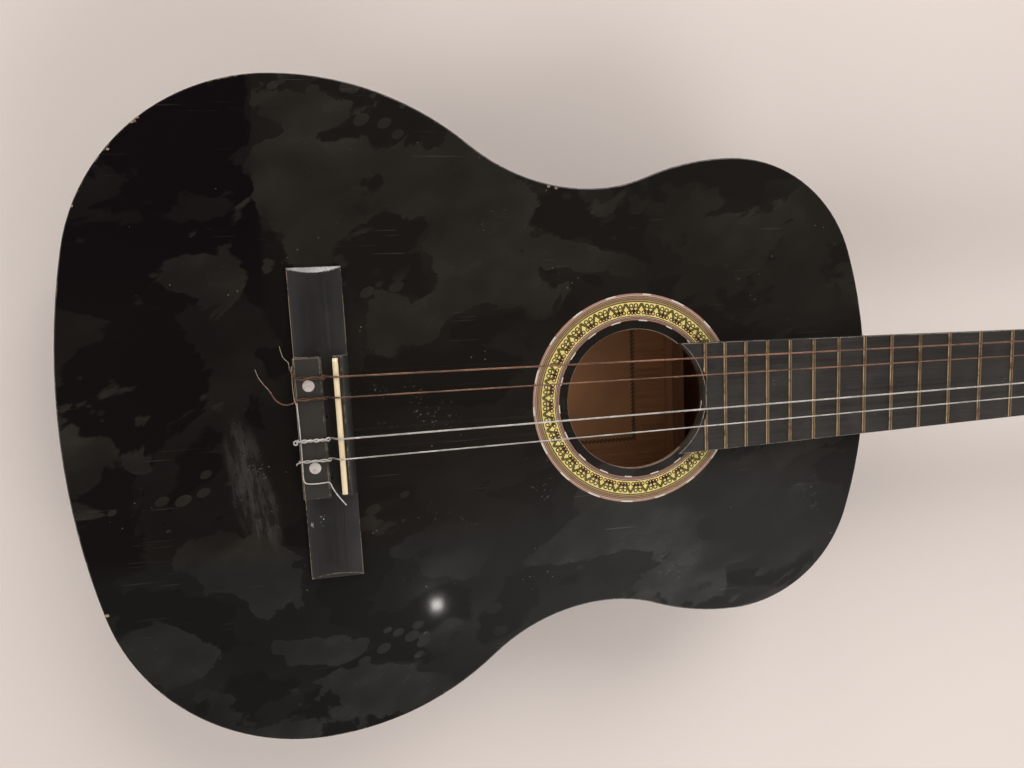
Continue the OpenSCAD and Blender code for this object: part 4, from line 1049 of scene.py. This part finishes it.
fretboard = rounded("fretboard", [fretboard_wood, fretboard_edge, chip_wood], 0.3 * MM,
                    test=board_edge)
corner_x = min(v.co.x for v in fretboard.data.vertices) / MM
for y, size in ((31.9, 0.7), (31.0, 0.5), (-33.9, 0.7), (-32.6, 0.5), (-31.2, 0.4)):
    bite_out(fretboard, (corner_x + (abs(y + 1) < 32) * 0.4, y, 102), size, chip_wood)


# %% [markdown]
# The neck's edges are rounded where a hand reaches them, below the fretboard and clear of the body. The
# head keeps its shape, and the veneer on its face has all its sharp edges rounded.

# %% Neck, heel and head
neck_lacquer = lacquer("neck_lacquer", (0.012, 0.009, 0.008))
neck_edge = lacquer("neck_edge", (0.012, 0.009, 0.008), (0.20, 0.11, 0.06), 0.46)
for node, width in (("neck_shaft", 0.4), ("neck_heel", 0.5), ("heel_cap", 0.3)):
    rounded(node, [neck_lacquer, neck_edge], width * MM,
            test=lambda p: p.z < 95 * MM and p.x > 240 * MM, sharper=40)
paint(neck_lacquer, "neck_head")
rounded("head_veneer", [rib_lacquer, neck_edge], 0.35 * MM, sharper=60)

# %% [markdown]
# ## Strings
# The two bass strings are wound with fine copper wire, which has gone brown, and the two others are clear
# nylon. Each runs from its roller over the nut and the saddle, down through its hole in the tie block,
# up behind the block, forward over it, round itself, and back, twisted round its own first half. A string
# is a curve along that route with a round section. Its texture coordinates are then set to real
# millimetres along the wire, so that the winding has one pitch everywhere.

# %% A wire along a route
NUT_X, SADDLE_X, BLOCK_BACK, BLOCK_FRONT, BRIDGE_X, BRIDGE_Y = 559.0, -92.5, -115.2, -100.0, -100.6, -1.6
TILT = math.radians(15)
NUT_STRING, TIE_HOLE, BLOCK_TOP = 7.4, 5, 9.5
ROLLER_R, ROLLER_Z = 5, -9
string_r = {1: 0.36, 2: 0.41, 3: 0.51, 5: 0.44, 6: 0.54}
ROLLER_X = {6: 52, 5: 87, 4: 122, 1: 52, 2: 87, 3: 122}
WIND_Y = {6: 17.5, 5: 14.5, 3: -13.5, 2: -14.5}


def saddle_y(k):
    return (k - 3.5) * 11.55 - 1.9


def nut_y(k):
    return (k - 3.5) * 8.2 - 2.6


def from_head(x, y, z):
    """A point in the head's own frame, which starts behind the nut and leans back."""
    return (NUT_X + 5 + x * math.cos(TILT) + z * math.sin(TILT), y - 1,
            TOP - x * math.sin(TILT) + z * math.cos(TILT))


def softened(points, step=0.8):
    """A smooth curve through the points, as many short steps."""
    points = [Vector(p) for p in points]
    ends = [2 * points[0] - points[1]] + points + [2 * points[-1] - points[-2]]
    out = []
    for i in range(1, len(ends) - 2):
        a, b, c, d = ends[i - 1:i + 3]
        count = max(1, int((c - b).length / step))
        for j in range(count):
            t = j / count
            out.append(0.5 * (2 * b + (c - a) * t + (2 * a - 5 * b + 4 * c - d) * t * t
                              + (3 * b - a - 3 * c + d) * t * t * t))
    return out + [points[-1]]


def wire(name, points, radius):
    """A round wire along the points, in millimetres."""
    curve = bpy.data.curves.new(name, "CURVE")
    curve.dimensions = "3D"
    spline = curve.splines.new("POLY")
    spline.points.add(len(points) - 1)
    lengths = [0.0]
    for a, b in zip(points, points[1:]):
        lengths.append(lengths[-1] + (Vector(b) - Vector(a)).length)
    for point, p in zip(spline.points, points):
        point.co = (p[0] * MM, p[1] * MM, p[2] * MM, 1)
    curve.bevel_depth = radius * MM
    curve.bevel_resolution = 2
    curve.use_fill_caps = True
    piece = bpy.data.objects.new(name, curve)
    bpy.context.scene.collection.objects.link(piece)
    only(piece)
    bpy.ops.object.convert(target="MESH")
    mesh = piece.data
    sides = len(mesh.vertices) // len(points)
    texture = mesh.uv_layers[0].data
    for loop in mesh.loops:
        ring = min(loop.vertex_index // sides, len(lengths) - 1)
        texture[loop.index].uv = (texture[loop.index].uv[0], lengths[ring])
    return piece, lengths[-1]


# %% [markdown]
# A wound string is ribbed by thousands of turns of thin wire. Modelled, they would be millions of faces, so
# a sine along the wire goes into the bump and gives the same ribs. Nylon has no ribs, only a slightly
# uneven, cloudy skin.


# %% String finishes
def string_finish(name, colour, old, metallic, rough, pitch):
    """Wire with a winding of one pitch in millimetres, or bare nylon where the pitch is 0."""
    material, net, shader = finish(name)
    route = net.node("ShaderNodeTexCoord").outputs["UV"]
    along = net.node("ShaderNodeSeparateXYZ", {0: route}).outputs["Y"]
    stain = net.noise(net.place(), 70, 4, 0.65)
    fine = net.noise(net.place(), 900, 2, 0.6)
    dirt = net.step(net.math("ADD", stain, net.math("MULTIPLY", fine, 0.3)), 0.5, 0.8)
    net.put(shader["Base Color"], net.mix(dirt, colour, old))
    net.put(shader["Metallic"], metallic)
    net.put(shader["Roughness"], net.step(stain, 0.3, 0.7, rough, rough + 0.2))
    if pitch:
        turns = net.math("SINE", net.math("MULTIPLY", along, 2 * math.pi / pitch))
        net.put(shader["Normal"], net.bump(turns, 0.00008, 0.8))
    else:
        net.put(shader["Normal"], net.bump(fine, 0.00002, 0.3))
    return material


copper_wire = string_finish("wound_string", (0.24, 0.127, 0.085), (0.115, 0.070, 0.050), 0.8, 0.38, 0.22)
nylon = string_finish("plain_string", (0.60, 0.57, 0.54), (0.34, 0.31, 0.28), 0.0, 0.22, 0)
core_wire = string_finish("string_core", (0.50, 0.42, 0.30), (0.30, 0.24, 0.17), 0.4, 0.4, 0)

# %% [markdown]
# A route is a list of points on the pieces that the string touches: the roller, the notch in the nut, the
# top of the saddle and the hole in the tie block. The twist of the knot is two strands on one axis, half a
# turn apart, laid forward over the block and then back.


# %% String routes
def run_of(k):
    """From the roller over the nut and the saddle and into the tie block."""
    r = string_r[k]
    y = saddle_y(k)
    return [
        from_head(ROLLER_X[k], WIND_Y[k], ROLLER_Z + ROLLER_R + r + 0.12),
        (NUT_X + 5.5, nut_y(k), TOP + NUT_STRING + r),
        (NUT_X, nut_y(k), TOP + NUT_STRING + r),
        (SADDLE_X + 0.6, y, TOP + 11.46 + r),
        (SADDLE_X, y, TOP + 11.47 + r),
        (SADDLE_X - 1.0, y, TOP + 11.3 + r),
        (SADDLE_X - 2.2, y, TOP + 10.4 + r * 0.5),
        (BLOCK_FRONT + 1.4, y, TOP + 5.6),
        (BLOCK_FRONT - 1, y, TOP + TIE_HOLE),
        (BLOCK_BACK, y, TOP + TIE_HOLE),
    ]


def knot_of(k, rounds, spread=1.05):
    """Up the back of the tie block, forward over it, round its own string, and back twisted round itself."""
    r = string_r[k]
    y = saddle_y(k)
    back, front = BLOCK_BACK, BLOCK_FRONT
    over = TOP + BLOCK_TOP + r * (1 + spread) + 0.05
    points = [(back - 1.4 * r, y, TOP + 5.4), (back - 1.7 * r, y, TOP + 7.6),
              (back - 1.3 * r, y, TOP + 9.3), (back + 0.2, y, over - 0.15)]
    steps = 26
    lay = []
    for i in range(steps + 1):
        angle = math.pi * rounds * i / steps
        lay.append((back + 1.2 + (front - back - 2.0) * i / steps, angle))
    points += [(x, y + spread * r * math.sin(a), over + spread * r * (math.cos(a) - 1)) for x, a in lay]
    points += [(front + 0.2, y + 1.5 * r, over - 0.5), (front + 1.1, y + 1.2 * r, over - 1.6),
               (front + 1.5, y - 0.4 * r, over - 1.9), (front + 0.9, y - 1.7 * r, over - 1.1)]
    points += [(x, y - spread * r * math.sin(a),
                over - spread * r * (math.cos(a) + 1) + 2 * spread * r * 0.98) for x, a in reversed(lay)]
    return points


# %% [markdown]
# Each string that is left is one wire, from its roller to the end of its knot. Up to the saddle its route
# stays as it is, because a tight string is straight. Only from there on is it made smooth. The tails are
# the loose ends behind the tie block, given in the bridge's own frame.

# %% Straight runs and knots
TAIL_6 = [(-15.0, 31.4, 10.4), (-16.2, 34.6, 9.8), (-16.6, 37.6, 9.0), (-18.4, 39.4, 8.0),
          (-19.6, 41.0, 7.2), (-21, 46.6, 6)]
TAIL_5 = [(-16.4, 15.1, 9.4), (-20.6, 14.6, 8), (-24.8, 16.8, 6.4), (-28, 22, 5), (-31.4, 26.4, 3.8),
          (-33.8, 30, 2.8), (-35.4, 34.6, 2)]
RING_3 = [(-15.4, -5.9, 9.7), (-16.3, -5.7, 9.4), (-17.2, -6.5, 9.2), (-17.1, -7.6, 9.3), (-16.2, -8.0, 9.8),
          (-15.3, -7.3, 10.5), (-15.3, -6.0, 10.9), (-14.4, -5.2, 11.0)]
TAIL_2 = [(-15.6, -18.2, 9.8), (-16.4, -18.6, 9.2), (-16.9, -19.6, 8.4)]


def at_bridge(points):
    return [(BRIDGE_X + x, BRIDGE_Y + y, TOP + z) for x, y, z in points]


for k, rounds, tail, material in ((6, 2, TAIL_6, copper_wire), (5, 2, TAIL_5, copper_wire),
                                  (3, 4, RING_3, nylon), (2, 3, TAIL_2, nylon)):
    straight = run_of(k)
    wound_tail = at_bridge(tail[:4] if k == 5 else tail[:2] if k == 6 else tail)
    route = straight[:4] + softened(straight[4:] + knot_of(k, rounds) + wound_tail, 0.7)
    string, length = wire("string_%d_run" % k, route, string_r[k])
    string.data.materials.append(material)
    hand_in(string, stands_for=("string_%d" % k,), smooth=60)
    print("string", k, "length mm", round(length, 1))

# %% [markdown]
# The torn first string lies along the back edge of the tie block, goes over it at its treble end, and
# stands up a little at the tip, where it snapped. The tails of the two wound strings have lost their
# winding towards the tip, so a thin core goes on alone, and a strand of the sixth lies along the edge.

# %% Torn string and loose strand
STUB = [(-13.9, 15.4, 10.2), (-13.7, 9, 10.05), (-13.5, 0, 10.0), (-13.45, -10, 10.0),
        (-13.6, -21, 10.0), (-13.7, -26.5, 10.05), (-13.0, -29.3, 10.1), (-10.6, -30.3, 10.1),
        (-5, -30.5, 10.1), (-0.4, -30.2, 10.15), (0.6, -30.9, 10.3), (1.6, -33.4, 10.6),
        (4.2, -38.2, 10.8), (8.2, -44.4, 9.2)]
stub, length = wire("string_1_torn", softened(at_bridge(STUB), 0.8), string_r[1])
stub.data.materials.append(nylon)
hand_in(stub, stands_for=("string_1_stub",), smooth=60)
print("torn string, mm", round(length, 1))
for k, tail in ((6, TAIL_6[1:]), (5, TAIL_5[3:])):
    bare, length = wire("string_%d_core" % k, softened(at_bridge(tail), 0.8), 0.17)
    bare.data.materials.append(core_wire)
    hand_in(bare, smooth=60)
    print("bare core of string", k, "mm", round(length, 1))
STRAND = [(-15.0, 35.6, 10.2), (-15.2, 31, 10.0), (-15.3, 26, 9.8), (-15.2, 21, 9.9), (-14.8, 16.8, 10.3),
          (-14.2, 14.6, 10.8)]
strand, length = wire("string_6_strand", softened(at_bridge(STRAND), 0.8), 0.26)
strand.data.materials.append(core_wire)
hand_in(strand, smooth=60)
print("loose strand, mm", round(length, 1))

# %% [markdown]
# ## Windings on the rollers
# Behind the nut each string is wound on its roller. The turns go round with the roller, so they are pieces
# of their own that ride on it: a helix that starts where the string touches the roller and lies turn beside
# turn. It ends on the roller: the short piece that a real string has inside the roller's hole is left out.


# %% Windings
PER_TURN = 24


def winding(k, turns):
    """The string's turns on its roller, from where it first touches it to the roomier side of the slot."""
    r = string_r[k]
    around = ROLLER_R + r + 0.03
    x0, y0, z0 = ROLLER_X[k], WIND_Y[k], ROLLER_Z
    way = 1 if k > 3 else -1
    inward = -1 if abs(y0) > 15 else 1
    points = []
    for i in range(int(turns * PER_TURN) + 1):
        angle = math.pi / 2 + 2 * math.pi * i / PER_TURN
        y = y0 + way * inward * (2.06 * r) * i / PER_TURN
        points.append(from_head(x0 + around * math.cos(angle), y, z0 + around * math.sin(angle)))
    return points


for k, turns, material in ((6, 3.25, copper_wire), (5, 3.25, copper_wire),
                           (3, 4.25, nylon), (2, 4.25, nylon)):
    coil, length = wire("string_%d_turns" % k, winding(k, turns), string_r[k])
    coil.data.materials.append(material)
    hand_in(coil, "roller_%d" % k, smooth=60)
    print("turns of string", k, "on its roller, mm", round(length, 1))

# %% [markdown]
# ## Tuners
# Each tuner is a button on a worm, which turns a gear on the end of its roller. Real gears are held by a
# small slotted screw, and the buttons' edges are rounded so that they are kind to the fingers.

# %% Tuner finishes
paint(tuner_brass, "tuner_plate_bass", "tuner_plate_treble", *["tuner_%s_%d" % (part, k) for k in range(1, 7)
                                                               for part in ("worm", "gear")])
paint(screw_brass, "plate_screws")
paint(barrel, *["tuner_roller_%d" % k for k in range(1, 7)])
for k in range(1, 7):
    rounded("tuner_button_%d" % k, [ivory], 0.9 * MM, "button_%d" % k, steps=3, sharper=25)


# %% [markdown]
# The screw's head is a half ball with a slot. A whole ball is cut in two with bisect, which also closes the
# cut, and a thin box is then taken out of it as the slot.

# %% One gear screw
bpy.ops.mesh.primitive_uv_sphere_add(segments=24, ring_count=12, radius=1.7 * MM,
                                     rotation=(math.pi / 2, 0, 0))
first_screw = bpy.context.object
bpy.ops.object.transform_apply(location=False, rotation=True, scale=True)
bpy.ops.object.mode_set(mode="EDIT")
bpy.ops.mesh.select_all(action="SELECT")
bpy.ops.mesh.bisect(plane_co=(0, -0.02 * MM, 0), plane_no=(0, -1, 0), use_fill=True, clear_outer=True)
bpy.ops.object.mode_set(mode="OBJECT")
bpy.ops.mesh.primitive_cube_add(size=1, location=(0, 1.7 * MM, 0))
blade = bpy.context.object
blade.scale = (0.5 * MM, 1.6 * MM, 5 * MM)
blade.rotation_euler = (0, 0.6, 0)
slit = first_screw.modifiers.new("slit", "BOOLEAN")
slit.operation = "DIFFERENCE"
slit.solver = "EXACT"
slit.object = blade
only(first_screw)
bpy.ops.object.modifier_apply(modifier="slit")
bpy.data.objects.remove(blade)
first_screw.data.materials.append(screw_brass)
print("gear screw faces", len(first_screw.data.polygons))

# %% [markdown]
# The six screws are alike, so each is a copy with its own mesh. It is moved to the outer face of its gear,
# turned about on the treble side, and rides on the roller as the gear does.

# %% A copy of the screw on each gear
for k in range(1, 7):
    low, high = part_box("tuner_gear_%d" % k)
    centre = (low + high) / 2
    seat = (centre.x, high.y if k > 3 else low.y, centre.z)
    screw = bpy.data.objects.new("gear_screw_%d" % k, first_screw.data.copy())
    bpy.context.scene.collection.objects.link(screw)
    screw.data.transform(Matrix.Translation(seat) @ Matrix.Rotation(0 if k > 3 else math.pi, 4, "Z"))
    hand_in(screw, "roller_%d" % k)
bpy.data.objects.remove(first_screw)

# %% [markdown]
# ## Floor finish
# The floor is a plain pale ground. It takes the guitar's shadow, and has only the faintest unevenness. Far
# from the guitar the lamps don't reach it, so there it fades to the backdrop's own colour, and it does so for
# the camera only, because a floor that glowed would light the guitar.

# %% Floor
pale_floor, net, shader = finish("pale_floor")
tone = net.step(net.noise(net.place(), 1.5, 2), 0.3, 0.7)
distance = net.vector("LENGTH", net.place())
far = net.math("MULTIPLY", net.step(distance, 1.7, 3.6),
               net.node("ShaderNodeLightPath").outputs["Is Camera Ray"])
near_colour = net.mix(tone, (0.86, 0.785, 0.745), (0.90, 0.83, 0.79))
net.put(shader["Base Color"], net.mix(far, near_colour, (0, 0, 0)))
net.put(shader["Emission Color"], BACKDROP)
net.put(shader["Emission Strength"], far)
net.put(shader["Roughness"], 0.8)
floor.data.materials.append(pale_floor)
